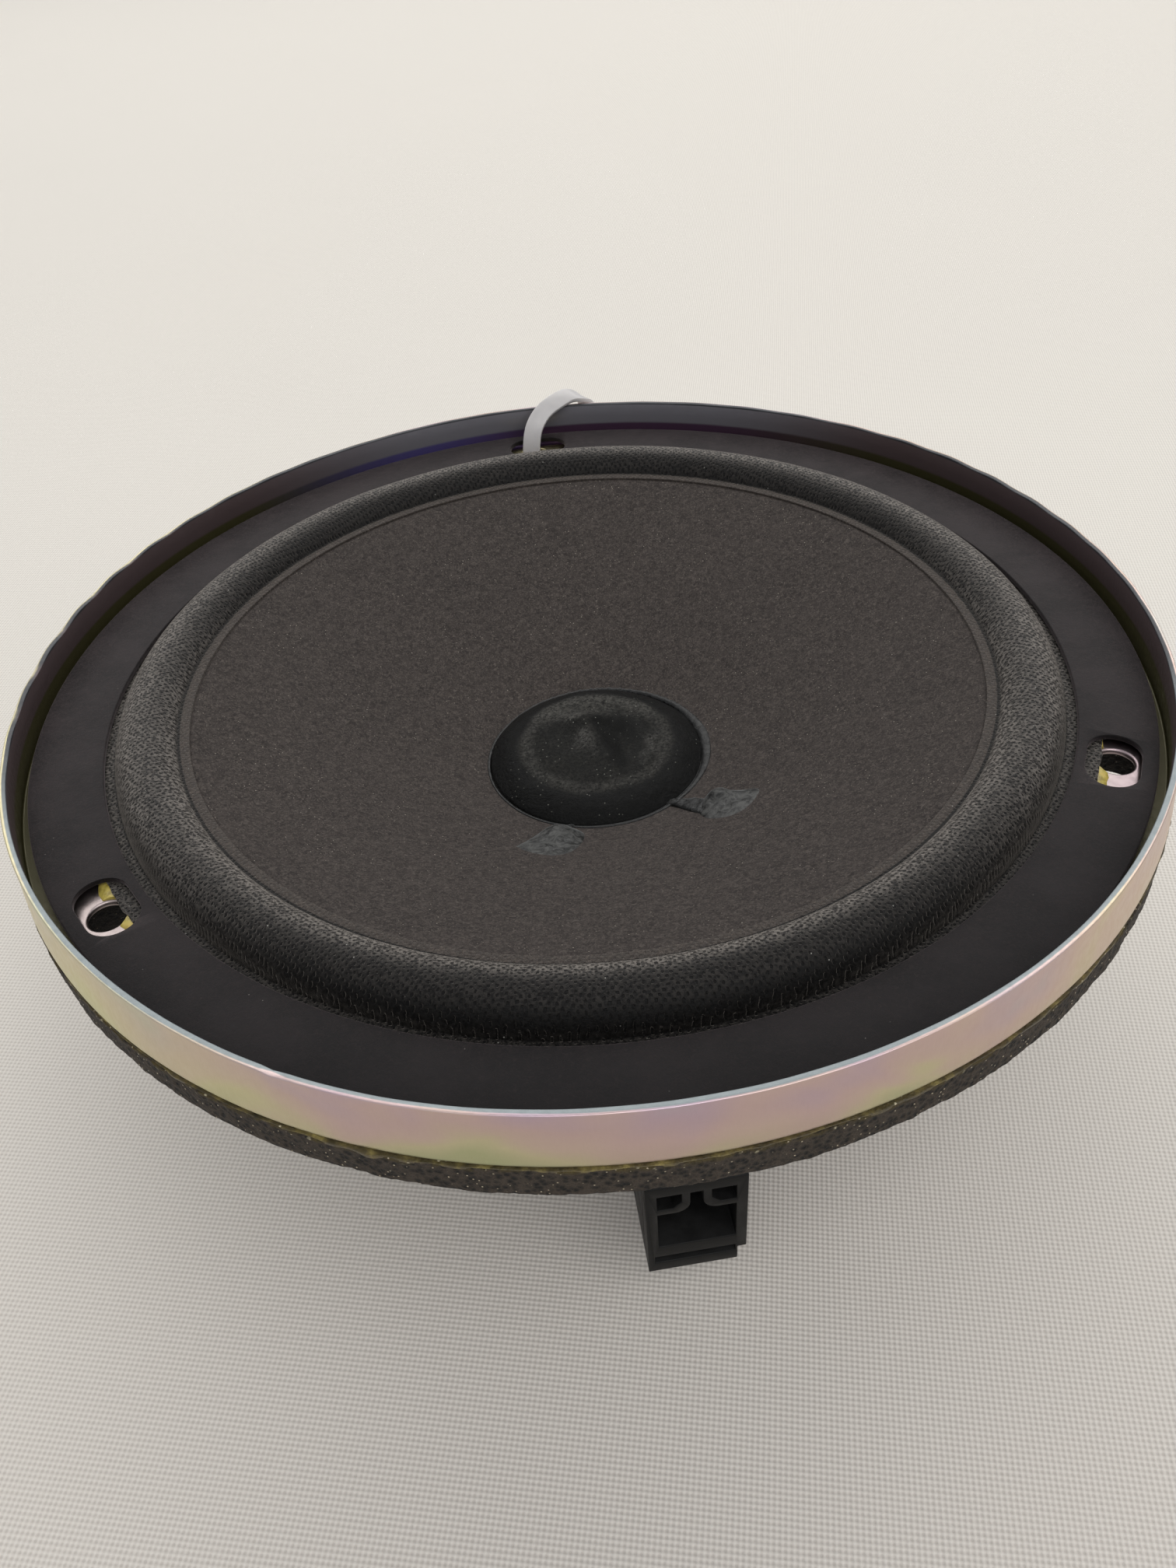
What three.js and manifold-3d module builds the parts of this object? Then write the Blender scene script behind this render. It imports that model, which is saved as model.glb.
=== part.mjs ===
// A 165 mm (6.5 inch class) car door loudspeaker, millimetres, +Z up.
// Origin: centre of the back plate's rear face, on the speaker's axis. The cone faces +Z.
import * as THREE from "three";
import { mergeVertices } from "three/addons/utils/BufferGeometryUtils.js";
import Module from "manifold-3d";

const wasm = await Module();
wasm.setup();

// ---------- driving dimensions ----------
const RIM_RADIUS = 82.5; // outside of the pressed steel rim wall
const RIM_TOP = 66; // height of the rim's top edge above the back plate's rear face
const SHEET = 0.9; // basket sheet thickness
const RIM_DEPTH = 8.8; // rim top to the underside of the outer flange
const RIM_BEND = 1.65; // radius of the sheet's two rounded bends, at its middle
const SEAT_RISE = 1.25; // the surround's seat stands this far above the outer flange
const SEAT_OUTER = 78.6; // past the screw holes, so that they are on the seat's level
const SEAT_INNER = 66.6;
const STEP_WIDTH = 0.9;
const CLEAR = 0.05; // gap between two pieces that are glued face to face
const WALL_FOOT = { radius: 63.2, z: 52.5 }; // where the seat's wall meets the arms
const ARM_FOOT = { radius: 46.5, z: 42 };
const POT_FOOT = 36; // radius of the basket's flat bottom

const SCREW_ANGLES = [94.8, 215.2, 336.8]; // degrees from +X
const SLOT_ANGLES = [94.2, 215.3, 335.4];
const SCREW_CIRCLE = 75.5;
const SCREW_HOLE = 2.5;
const FOAM_HOLES = [6, 4.5, 6]; // radii; the left one is tighter

const RING_TOP = RIM_TOP - 4.9;
const RING_THICK = 1.05;
const RING_INNER = 70.35;
const RING_OUTER = 80.6;
const SLOT_CIRCLE = 75.1;
const SLOT_LENGTH = 10.7;
const SLOT_WIDTH = 6.9;

const FOAM_INNER = 66.9;
const FOAM_OUTER = 83.3;
const FOAM_THICK = 4.4;

const CLOTH = 0.6; // surround cloth thickness
const ROLL_LIFT = 0.4; // height of the roll's centre above the glued cloth
const ROLL_CENTRE = 64.25;
const ROLL_RADIUS = 4.35; // at the cloth's middle
const CLOTH_OUTER = 73.6;
const LIP_INNER = 58.2;

const PAPER = 0.8; // cone paper thickness
const CONE_EDGE = 59.9;
const CONE_LAND = 58;
const CONE_EDGE_Z = RIM_TOP - 5.1; // paper middle under the surround's lip
const CONE_NECK = 13.35;
const CONE_SLOPE = 0.4367; // rise per millimetre of radius
const COLLAR_DEPTH = 1.1;

const CAP_RADIUS = 17.4;
const CAP_THICK = 0.6;
const CAP_SHOULDER = 13.4; // radius where the cap's steep skirt ends
const CAP_RISES = { foot: 1.1, shoulder: 3.4, crown: 4.4, centre: 4.6 }; // above the cone paper

const PLATE_RADIUS = 38;
const BACK_THICK = 6;
const MAGNET_RADIUS = 40;
const MAGNET_BORE = 22;
const MAGNET_THICK = 14;
const TOP_THICK = 5;
const POLE_RADIUS = 12.15;
const POLE_PROUD = 0.5; // the pole ends this far above the top plate
const MAGNET_CHAMFER = 1;
const GAP_OUTER = 13.7;
const FORMER_INNER = 12.55;
const FORMER_OUTER = 12.8;
const WINDING_INNER = 12.85;
const WINDING_OUTER = 13.25;
const WINDING_LENGTH = 10;
const FORMER_END = 0.5; // bare former below the winding
const TOP_PLATE_TOP = BACK_THICK + MAGNET_THICK + TOP_THICK;
const GAP_MIDDLE = TOP_PLATE_TOP - TOP_THICK / 2;

const LEDGE_Z = 38; // middle of the basket's spider ledge
const LEDGE_OUTER = 45.5;
const LEDGE_INNER = 37.5;
const BASKET_BORE = 19;
const WINDOW_INNER = 48.5;
const WINDOW_OUTER = 61;
const WINDOW_HALF_ANGLE = 28;
const WINDOW_COUNT = 4;

const SPIDER_THICK = 0.5;
const SPIDER_Z = 39.8;
const SPIDER_WAVE = 1.1;
const SPIDER_WAVES = 4;
const SPIDER_INNER = 13.15;
const SPIDER_NECK = 15.2; // flat collar's outer radius
const SPIDER_FIRST_WAVE = 16.5;
const SPIDER_LAST_WAVE = 35.5;
const SPIDER_FOOT = 37.9; // glued on the ledge from here outwards
const SPIDER_OUTER = 44.6;

const RIVET_CIRCLE = 28;
const RIVET_RADIUS = 2;
const RIVET_HEAD = 3.5;
const RIVET_HEAD_HEIGHT = 1.2;
const RIVET_CROWN = { radius: 2.8, height: 0.9 }; // edge of the head's flat top
const RIVET_COUNT = 4;
const RIVET_FREE = 0.15; // radial play of a rivet in its hole
const PLATE_SHANK = 4;
const TAB_SHANK = 4.5;

const CONNECTOR_ANGLE = 5.4; // degrees that the connector's face is turned from -Y towards +X
const CONNECTOR_OFFSET = 2.5; // sideways from the axis
const FACE_RADIUS = 69.05; // socket face to the axis
const HOUSING_WIDTH = 13.4;
const HOUSING_BOTTOM = 8.85;
const HOUSING_TOP = 37.5;
const HOUSING_BACK = 55;
const HOUSING_HEEL = { radius: 47, z: 34.5 }; // inner end of the foot that is riveted to the tab
const HOUSING_NOSE = { radius: 61, z: 33 }; // back end of the sloping roof
const HOUSING_FRONT_TOP = 29;
const HOUSING_BELLY = 31; // height of the back wall's top
const CORNER_STEP = 1.2; // the step along the lower right corner
const CORNER_STEP_TOP = 11.8;
const SOCKET_DEPTH = 9.5;
const SOCKET_WIDTH = 10.4;
const SOCKET_LOW = 14.9;
const SOCKET_HIGH = 22.8;
const ROOF = 1.1;
const KEY_HALF = 0.85;
const KEY_TOP = 27;
const KEY_FILLET = 2;
const POCKET_DEPTH = 3;
const POCKET_CHAMFER = 1.2;
const LOWER_SLOT = { low: 10.9, high: 12.4, depth: 5, extra: 0.6 };
const TAB_LENGTH = 53.5;
const TAB_ROOT = 40.5;
const TAB_WIDTH = 12;
const TAB_RIVET = 51; // radius of the rivet
const TERMINAL_SPACING = 6.4;
const TERMINAL_WIDTH = 2.3;
const TERMINAL_THICK = 0.8;
const TERMINAL_RADIUS = 57.1;
const TERMINAL_TOP = 42.5;
const BLADE_TIP = 65;
const BLADE_Z = 18.8;
const BLADE_PLAY = 0.15;

const LEAD_RADIUS = 0.6;
const DOT_PLACES = {
  left: { angle: 253.9, radius: 23.4, length: 4.5, width: 3 },
  right: { angle: 318.1, radius: 26.2, length: 4.2, width: 2.9 },
};
const DOT_HEIGHT = 1.3;
const DOT_SKIRT = 0.6; // how far a dot reaches under its widest line, before it is cut by the cone
const COIL_LEAD_RADIUS = 0.45;

const STRAP_WIDTH = 3.4;
const STRAP_THICK = 1.1;
const STRAP_ANGLE = 41; // degrees, the loop's plane from +X
const STRAP_REACH = 15.4; // hole centre to the strap outside the rim
const STRAP_LOW = 50.9;
const STRAP_HIGH = 67.8;
const STRAP_CORNER = 5;
const STRAP_HEAD = { thick: 4.4, length: 6, width: 5.4, out: 1.7, up: 6.5 };
const STRAP_TAIL = { length: 7, out: 2.2 };

const RIM_SEGMENTS = 60;
const CONE_SEGMENTS = 48;
const SMALL_SEGMENTS = 16;
const BEND_STEPS = 2;
const SPIDER_SEGMENTS = 36;
const THROUGH = 12; // height of a cutter that passes right through a sheet
const SLIVER = 0.01; // keeps a straight side from having no length

const SEAT_Z = RIM_TOP - RIM_DEPTH + SHEET / 2 + SEAT_RISE; // middle of the seat's sheet
const FLANGE_Z = SEAT_Z - SEAT_RISE;
const CLOTH_Z = SEAT_Z + SHEET / 2 + CLEAR + CLOTH / 2;

// ---------- geometry helpers ----------
const radians = THREE.MathUtils.degToRad;
const at = (x, y) => new THREE.Vector2(x, y);

function solidOf(geometry) {
  const bare = geometry.clone();
  bare.deleteAttribute("normal");
  bare.deleteAttribute("uv");
  const merged = mergeVertices(bare, 1e-4);
  const mesh = new wasm.Mesh({
    numProp: 3,
    vertProperties: merged.attributes.position.array,
    triVerts: new Uint32Array(merged.index.array),
  });
  return new wasm.Manifold(mesh);
}

function geometryOf(solid) {
  const mesh = solid.getMesh();
  const geometry = new THREE.BufferGeometry();
  geometry.setAttribute("position", new THREE.BufferAttribute(mesh.vertProperties, 3));
  geometry.setIndex(new THREE.BufferAttribute(mesh.triVerts, 1));
  geometry.computeVertexNormals();
  return geometry;
}

function cut(geometry, tools) {
  const left = tools.reduce((solid, tool) => solid.subtract(solidOf(tool)), solidOf(geometry));
  return geometryOf(left);
}

function join(geometry, extras) {
  const whole = extras.reduce((solid, extra) => solid.add(solidOf(extra)), solidOf(geometry));
  return geometryOf(whole);
}

// Turns a closed outline of (radius, height) points about Z.
function turned(outline, segments) {
  const upward = THREE.ShapeUtils.area(outline) > 0 ? outline : [...outline].reverse();
  const lathe = new THREE.LatheGeometry([...upward, upward[0]], segments);
  return lathe.rotateX(Math.PI / 2);
}

// The same for a solid piece, whose outline starts and ends on the axis.
function turnedOnAxis(outline, segments) {
  const upward = THREE.ShapeUtils.area(outline) > 0 ? outline : [...outline].reverse();
  return new THREE.LatheGeometry(upward, segments).rotateX(Math.PI / 2);
}

function ringOutline(inner, outer, low, high) {
  return [at(inner, low), at(outer, low), at(outer, high), at(inner, high)];
}

function disc(radius, low, high, segments) {
  return turnedOnAxis([at(0, low), at(radius, low), at(radius, high), at(0, high)], segments);
}

// Offsets an open path sideways, with mitred corners.
function offsetPath(path, distance) {
  return path.map((point, i) => {
    const before = path[Math.max(i - 1, 0)];
    const after = path[Math.min(i + 1, path.length - 1)];
    const arriving = (i > 0 ? point : after).clone().sub(i > 0 ? before : point).normalize();
    const leaving = (i < path.length - 1 ? after : point).clone();
    leaving.sub(i < path.length - 1 ? point : before).normalize();
    const side = at(-arriving.y, arriving.x);
    const mitre = side.clone().add(at(-leaving.y, leaving.x)).normalize();
    return point.clone().addScaledVector(mitre, distance / mitre.dot(side));
  });
}

// The outline of a sheet of one thickness whose middle follows a path.
function sheetOutline(path, thickness) {
  const one = offsetPath(path, thickness / 2);
  const other = offsetPath(path, -thickness / 2);
  return [...one, ...other.reverse()];
}

// Replaces a path's corner at index i by an arc.
function bend(before, corner, after, radius) {
  const toBefore = before.clone().sub(corner).normalize();
  const toAfter = after.clone().sub(corner).normalize();
  const half = Math.acos(toBefore.dot(toAfter)) / 2;
  const start = corner.clone().addScaledVector(toBefore, radius / Math.tan(half));
  const end = corner.clone().addScaledVector(toAfter, radius / Math.tan(half));
  const inward = toBefore.clone().add(toAfter).normalize();
  const centre = corner.clone().addScaledVector(inward, radius / Math.sin(half));
  const from = start.clone().sub(centre).angle();
  const sweep = end.clone().sub(centre).angle() - from;
  const turn = Math.atan2(Math.sin(sweep), Math.cos(sweep));
  return Array.from({ length: BEND_STEPS + 1 }, (_, i) => {
    const angle = from + (turn * i) / BEND_STEPS;
    return centre.clone().add(at(Math.cos(angle), Math.sin(angle)).multiplyScalar(radius));
  });
}

function polar(radius, degrees, z) {
  return new THREE.Vector3(
    radius * Math.cos(radians(degrees)),
    radius * Math.sin(radians(degrees)),
    z,
  );
}

function cylinderAt(place, radius, height) {
  const geometry = new THREE.CylinderGeometry(radius, radius, height, SMALL_SEGMENTS);
  geometry.rotateX(Math.PI / 2);
  return geometry.translate(place.x, place.y, place.z);
}

function extruded(shape, depth, curveSegments = 6) {
  return new THREE.ExtrudeGeometry(shape, { depth, bevelEnabled: false, curveSegments });
}

function tubeAlong(points, radius, sides, steps) {
  const section = new THREE.Shape(
    Array.from({ length: sides }, (_, i) => {
      const angle = (2 * Math.PI * i) / sides;
      return at(radius * Math.cos(angle), radius * Math.sin(angle));
    }),
  );
  const path = new THREE.CatmullRomCurve3(points, false, "centripetal");
  return new THREE.ExtrudeGeometry(section, { steps, extrudePath: path, bevelEnabled: false });
}

function roundedRectangle(target, left, low, right, high, corner) {
  target.moveTo(left + corner, low);
  target.lineTo(right - corner, low);
  target.absarc(right - corner, low + corner, corner, -Math.PI / 2, 0);
  target.lineTo(right, high - corner);
  target.absarc(right - corner, high - corner, corner, 0, Math.PI / 2);
  target.lineTo(left + corner, high);
  target.absarc(left + corner, high - corner, corner, Math.PI / 2, Math.PI);
  target.lineTo(left, low + corner);
  target.absarc(left + corner, low + corner, corner, Math.PI, 1.5 * Math.PI);
  return target;
}

// ---------- materials ----------
const finish = (color, roughness, metalness) =>
  new THREE.MeshStandardMaterial({ color, roughness, metalness });
const zinc = finish(0xb5aaa0, 0.3, 0.9);
const plainSteel = finish(0x9a9a98, 0.4, 0.9);
const ferrite = finish(0x2c2b2b, 0.75, 0);
const card = finish(0x353031, 0.95, 0);
const foam = finish(0x322c26, 1, 0);
const cloth = finish(0x33312f, 0.9, 0);
const paper = finish(0x423c39, 0.95, 0);
const capPaper = finish(0x2e2d2b, 0.85, 0);
const coilFilm = finish(0x8a5a24, 0.5, 0);
const copper = finish(0xb06a3a, 0.35, 0.9);
const spiderCloth = finish(0xb08a4a, 0.9, 0);
const blackPlastic = finish(0x1b1b1c, 0.5, 0);
const tinned = finish(0xb9b6a8, 0.35, 0.9);
const tinsel = finish(0x9c8a70, 0.6, 0.6);
const clearGlue = finish(0x55595b, 0.3, 0);
const blackGlue = finish(0x1c1b1b, 0.4, 0);
const nylon = finish(0xc3c0c2, 0.45, 0);

function piece(name, geometry, material) {
  const mesh = new THREE.Mesh(geometry, material);
  mesh.name = name;
  return mesh;
}

// ---------- cone surface ----------
// Height of the cone paper's middle at a radius.
const coneHeight = (radius) => CONE_EDGE_Z - CONE_SLOPE * (CONE_LAND - radius);

function conePath() {
  return [
    at(CONE_EDGE, CONE_EDGE_Z),
    at(CONE_LAND, CONE_EDGE_Z),
    at(CAP_RADIUS, coneHeight(CAP_RADIUS)),
    at(CONE_NECK, coneHeight(CONE_NECK)),
    at(CONE_NECK, coneHeight(CONE_NECK) - COLLAR_DEPTH),
  ];
}

// ---------- fixed frame ----------
function basketPath() {
  const rimMiddle = RIM_RADIUS - SHEET / 2;
  const top = at(rimMiddle, RIM_TOP);
  const rimFoot = at(rimMiddle, FLANGE_Z);
  const stepFoot = at(SEAT_OUTER + STEP_WIDTH, FLANGE_Z);
  const stepHead = at(SEAT_OUTER, SEAT_Z);
  const seatEdge = at(SEAT_INNER, SEAT_Z);
  const wallFoot = at(WALL_FOOT.radius, WALL_FOOT.z);
  const armFoot = at(ARM_FOOT.radius, ARM_FOOT.z);
  const ledgeEdge = at(LEDGE_OUTER, LEDGE_Z);
  const ledgeInside = at(LEDGE_INNER, LEDGE_Z);
  const potFoot = at(POT_FOOT, TOP_PLATE_TOP + SHEET / 2);
  const bore = at(BASKET_BORE, TOP_PLATE_TOP + SHEET / 2);
  return [
    top,
    ...bend(top, rimFoot, stepFoot, RIM_BEND),
    stepFoot,
    stepHead,
    ...bend(stepHead, seatEdge, wallFoot, RIM_BEND),
    wallFoot,
    armFoot,
    ledgeEdge,
    ledgeInside,
    potFoot,
    bore,
  ];
}

function windowCutter(degrees) {
  const half = radians(WINDOW_HALF_ANGLE);
  const shape = new THREE.Shape();
  shape.absarc(0, 0, WINDOW_OUTER, -half, half);
  shape.absarc(0, 0, WINDOW_INNER, half, -half, true);
  const prism = extruded(shape, RIM_TOP - LEDGE_Z, 10);
  return prism.rotateZ(radians(degrees)).translate(0, 0, LEDGE_Z + SHEET);
}

const screwPlace = (degrees) => polar(SCREW_CIRCLE, degrees, RIM_TOP - RIM_DEPTH);

function rivetPlace(index) {
  return polar(RIVET_CIRCLE, 45 + (360 / RIVET_COUNT) * index, TOP_PLATE_TOP);
}

// The flat lug that carries the connector: drawn pointing to -Y, then turned about the axis.
function connectorTab() {
  const length = TAB_LENGTH - TAB_ROOT;
  const tab = new THREE.BoxGeometry(TAB_WIDTH, length, SHEET);
  tab.translate(CONNECTOR_OFFSET, length / 2 - TAB_LENGTH, LEDGE_Z);
  return tab.rotateZ(radians(CONNECTOR_ANGLE));
}

const tabRivetPlace = new THREE.Vector3(CONNECTOR_OFFSET, -TAB_RIVET, LEDGE_Z);

function basket() {
  const shell = turned(sheetOutline(basketPath(), SHEET), RIM_SEGMENTS);
  const windows = Array.from({ length: WINDOW_COUNT }, (_, i) =>
    windowCutter((360 / WINDOW_COUNT) * i),
  );
  const screws = SCREW_ANGLES.map((angle) => cylinderAt(screwPlace(angle), SCREW_HOLE, THROUGH));
  const rivets = Array.from({ length: RIVET_COUNT }, (_, i) =>
    cylinderAt(rivetPlace(i), RIVET_RADIUS + RIVET_FREE, THROUGH),
  );
  const tabHole = cylinderAt(tabRivetPlace, RIVET_RADIUS + RIVET_FREE, THROUGH);
  tabHole.rotateZ(radians(CONNECTOR_ANGLE));
  return cut(join(cut(shell, windows), [connectorTab()]), [...screws, ...rivets, tabHole]);
}

function gasketRing() {
  const ring = turned(
    ringOutline(RING_INNER, RING_OUTER, RING_TOP - RING_THICK, RING_TOP),
    RIM_SEGMENTS,
  );
  const slots = SLOT_ANGLES.map((angle) => {
    const outline = roundedRectangle(
      new THREE.Shape(),
      -SLOT_WIDTH / 2,
      -SLOT_LENGTH / 2,
      SLOT_WIDTH / 2,
      SLOT_LENGTH / 2,
      SLOT_WIDTH / 2 - SLIVER,
    );
    const slot = extruded(outline, THROUGH);
    return slot.translate(SLOT_CIRCLE, 0, RING_TOP - THROUGH / 2).rotateZ(radians(angle));
  });
  return cut(ring, slots);
}

function foamGasket() {
  const high = RIM_TOP - RIM_DEPTH - CLEAR;
  const ring = turned(ringOutline(FOAM_INNER, FOAM_OUTER, high - FOAM_THICK, high), RIM_SEGMENTS);
  const holes = SCREW_ANGLES.map((angle, hole) =>
    cylinderAt(screwPlace(angle), FOAM_HOLES[hole], THROUGH),
  );
  return cut(ring, holes);
}

// The socket with its key slot, drawn in the face's own (sideways, height) plane.
function cavityShape() {
  const half = SOCKET_WIDTH / 2;
  const filletX = KEY_HALF + KEY_FILLET;
  const filletZ = SOCKET_HIGH + KEY_FILLET;
  const shape = new THREE.Shape();
  shape.moveTo(-half, SOCKET_LOW);
  shape.lineTo(half, SOCKET_LOW);
  shape.lineTo(half, SOCKET_HIGH);
  shape.lineTo(filletX, SOCKET_HIGH);
  shape.absarc(filletX, filletZ, KEY_FILLET, -Math.PI / 2, -Math.PI, true);
  shape.lineTo(KEY_HALF, KEY_TOP);
  shape.lineTo(-KEY_HALF, KEY_TOP);
  shape.lineTo(-KEY_HALF, filletZ);
  shape.absarc(-filletX, filletZ, KEY_FILLET, 0, -Math.PI / 2, true);
  shape.lineTo(-half, SOCKET_HIGH);
  return shape;
}

// A shallow panel above the socket, on one side of the key slot.
function pocketShape(side) {
  const near = KEY_HALF + ROOF;
  const low = SOCKET_HIGH + ROOF;
  const outer = side * (SOCKET_WIDTH / 2);
  return new THREE.Shape([
    at(side * near, KEY_TOP),
    at(outer, KEY_TOP),
    at(outer, low),
    at(side * (near + POCKET_CHAMFER), low),
    at(side * near, low + POCKET_CHAMFER),
  ]);
}

function lowerSlotShape() {
  const half = SOCKET_WIDTH / 2;
  return new THREE.Shape(
    ringOutline(-half - LOWER_SLOT.extra, half, LOWER_SLOT.low, LOWER_SLOT.high),
  );
}

// Lays a face-plane shape into the housing, its open end 1 mm outside the face.
function fromFace(shape, depth) {
  const prism = extruded(shape, depth + 1);
  prism.rotateX(Math.PI / 2);
  return prism.translate(CONNECTOR_OFFSET, depth - FACE_RADIUS, 0);
}

function connectorHousing() {
  const profile = new THREE.Shape([
    at(FACE_RADIUS, HOUSING_BOTTOM),
    at(FACE_RADIUS, HOUSING_FRONT_TOP),
    at(HOUSING_NOSE.radius, HOUSING_NOSE.z),
    at(HOUSING_NOSE.radius, HOUSING_TOP),
    at(HOUSING_HEEL.radius, HOUSING_TOP),
    at(HOUSING_HEEL.radius, HOUSING_HEEL.z),
    at(HOUSING_BACK, HOUSING_BELLY),
    at(HOUSING_BACK, HOUSING_BOTTOM),
  ]);
  const block = extruded(profile, HOUSING_WIDTH);
  block.rotateX(Math.PI / 2).rotateZ(-Math.PI / 2);
  block.translate(CONNECTOR_OFFSET + HOUSING_WIDTH / 2, 0, 0);
  const right = CONNECTOR_OFFSET + HOUSING_WIDTH / 2;
  const corner = new THREE.BoxGeometry(2 * CORNER_STEP, 4 * SOCKET_DEPTH, THROUGH);
  corner.translate(right, -FACE_RADIUS, CORNER_STEP_TOP - THROUGH / 2);
  const cutters = [
    fromFace(cavityShape(), SOCKET_DEPTH),
    fromFace(pocketShape(-1), POCKET_DEPTH),
    fromFace(pocketShape(1), POCKET_DEPTH),
    fromFace(lowerSlotShape(), LOWER_SLOT.depth),
    terminal(-1, BLADE_PLAY),
    terminal(1, BLADE_PLAY),
    cylinderAt(tabRivetPlace, RIVET_RADIUS + RIVET_FREE, 2 * TAB_SHANK),
  ];
  return cut(block, [corner, ...cutters]);
}

// A flat strip bent once: a blade in the socket and a riser up to its solder end.
function terminal(side, play = 0) {
  const width = TERMINAL_WIDTH + 2 * play;
  const thick = TERMINAL_THICK + 2 * play;
  const x = CONNECTOR_OFFSET + (side * TERMINAL_SPACING) / 2;
  const bladeBack = TERMINAL_RADIUS - thick / 2;
  const riserFoot = BLADE_Z - thick / 2;
  const blade = new THREE.BoxGeometry(width, BLADE_TIP - bladeBack, thick);
  blade.translate(x, -(BLADE_TIP + bladeBack) / 2, BLADE_Z);
  const riser = new THREE.BoxGeometry(width, thick, TERMINAL_TOP - riserFoot);
  riser.translate(x, -TERMINAL_RADIUS, (TERMINAL_TOP + riserFoot) / 2);
  return join(blade, [riser]);
}

function rivet(headZ, shankLength) {
  const outline = [
    at(0, headZ - shankLength),
    at(RIVET_RADIUS, headZ - shankLength),
    at(RIVET_RADIUS, headZ),
    at(RIVET_HEAD, headZ),
    at(RIVET_CROWN.radius, headZ + RIVET_CROWN.height),
    at(0, headZ + RIVET_HEAD_HEIGHT),
  ];
  return turnedOnAxis(outline, SMALL_SEGMENTS);
}

// The strap is a flat band bent to a rounded loop through a screw hole and over the rim.
function cableTie() {
  const half = STRAP_THICK / 2;
  const outer = roundedRectangle(
    new THREE.Shape(),
    -half,
    STRAP_LOW - half,
    STRAP_REACH + half,
    STRAP_HIGH + half,
    STRAP_CORNER,
  );
  const hollow = roundedRectangle(
    new THREE.Path(),
    half,
    STRAP_LOW + half,
    STRAP_REACH - half,
    STRAP_HIGH - half,
    STRAP_CORNER - STRAP_THICK,
  );
  outer.holes.push(hollow);
  const loop = extruded(outer, STRAP_WIDTH);
  loop.translate(0, 0, -STRAP_WIDTH / 2);
  const head = new THREE.BoxGeometry(STRAP_HEAD.thick, STRAP_HEAD.length, STRAP_HEAD.width);
  head.translate(STRAP_REACH + STRAP_HEAD.out, STRAP_LOW + STRAP_HEAD.up, 0);
  const tail = new THREE.BoxGeometry(STRAP_THICK, STRAP_TAIL.length, STRAP_WIDTH);
  tail.translate(STRAP_REACH + STRAP_TAIL.out, STRAP_LOW, 0);
  return join(loop, [head, tail]);
}

// ---------- motor ----------
function topPlate() {
  const low = TOP_PLATE_TOP - TOP_THICK;
  const ring = turned(
    ringOutline(GAP_OUTER, PLATE_RADIUS, low, TOP_PLATE_TOP - CLEAR),
    CONE_SEGMENTS,
  );
  const holes = Array.from({ length: RIVET_COUNT }, (_, i) =>
    cylinderAt(rivetPlace(i), RIVET_RADIUS + RIVET_FREE, 2 * PLATE_SHANK),
  );
  return cut(ring, holes);
}

function magnet() {
  const low = BACK_THICK + CLEAR;
  const high = BACK_THICK + MAGNET_THICK - CLEAR;
  const outline = [
    at(MAGNET_BORE, low),
    at(MAGNET_RADIUS - MAGNET_CHAMFER, low),
    at(MAGNET_RADIUS, low + MAGNET_CHAMFER),
    at(MAGNET_RADIUS, high - MAGNET_CHAMFER),
    at(MAGNET_RADIUS - MAGNET_CHAMFER, high),
    at(MAGNET_BORE, high),
  ];
  return turned(outline, CONE_SEGMENTS);
}

function polePiece() {
  return disc(POLE_RADIUS, BACK_THICK + CLEAR, TOP_PLATE_TOP + POLE_PROUD, CONE_SEGMENTS);
}

// ---------- soft suspension ----------
function surroundPath() {
  const steps = 7;
  const lipZ = CONE_EDGE_Z + PAPER / 2 + CLEAR + CLOTH / 2;
  const centre = at(ROLL_CENTRE, CLOTH_Z + ROLL_LIFT);
  const end = Math.PI - Math.asin((lipZ - centre.y) / ROLL_RADIUS);
  const roll = Array.from({ length: steps + 1 }, (_, i) => {
    const angle = (end * i) / steps;
    return centre.clone().add(at(Math.cos(angle), Math.sin(angle)).multiplyScalar(ROLL_RADIUS));
  });
  const rollFoot = at(roll[0].x + ROLL_LIFT, CLOTH_Z);
  return [at(CLOTH_OUTER, CLOTH_Z), rollFoot, ...roll, at(LIP_INNER, lipZ)];
}

function spiderPath() {
  const pitch = (SPIDER_LAST_WAVE - SPIDER_FIRST_WAVE) / (2 * SPIDER_WAVES);
  const crests = Array.from({ length: 2 * SPIDER_WAVES + 1 }, (_, i) =>
    at(SPIDER_FIRST_WAVE + pitch * i, SPIDER_Z + (i % 2 ? SPIDER_WAVE : -SPIDER_WAVE)),
  );
  const seat = LEDGE_Z + SHEET / 2 + CLEAR + SPIDER_THICK / 2;
  return [
    at(SPIDER_INNER, SPIDER_Z),
    at(SPIDER_NECK, SPIDER_Z),
    ...crests,
    at(SPIDER_FOOT, seat),
    at(SPIDER_OUTER, seat),
  ];
}

// A tinsel lead from its terminal's solder end to the cone paper's underside.
function lead(points) {
  const route = points.map(([x, y, z]) => new THREE.Vector3(x, y, z));
  return tubeAlong(route, LEAD_RADIUS, 8, 26);
}

// ---------- cone assembly ----------
function dustCap() {
  const base = coneHeight(CAP_RADIUS);
  const path = [
    at(CAP_RADIUS, base + CAP_RISES.foot),
    at(CAP_SHOULDER, base + CAP_RISES.shoulder),
    at(CAP_SHOULDER / 2, base + CAP_RISES.crown),
    at(0, base + CAP_RISES.centre),
  ];
  const half = CAP_THICK / 2;
  const under = path.map((point) => at(point.x, point.y - half));
  const over = path.map((point) => at(point.x, point.y + half));
  return turnedOnAxis([...under.reverse(), ...over], CONE_SEGMENTS);
}

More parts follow.
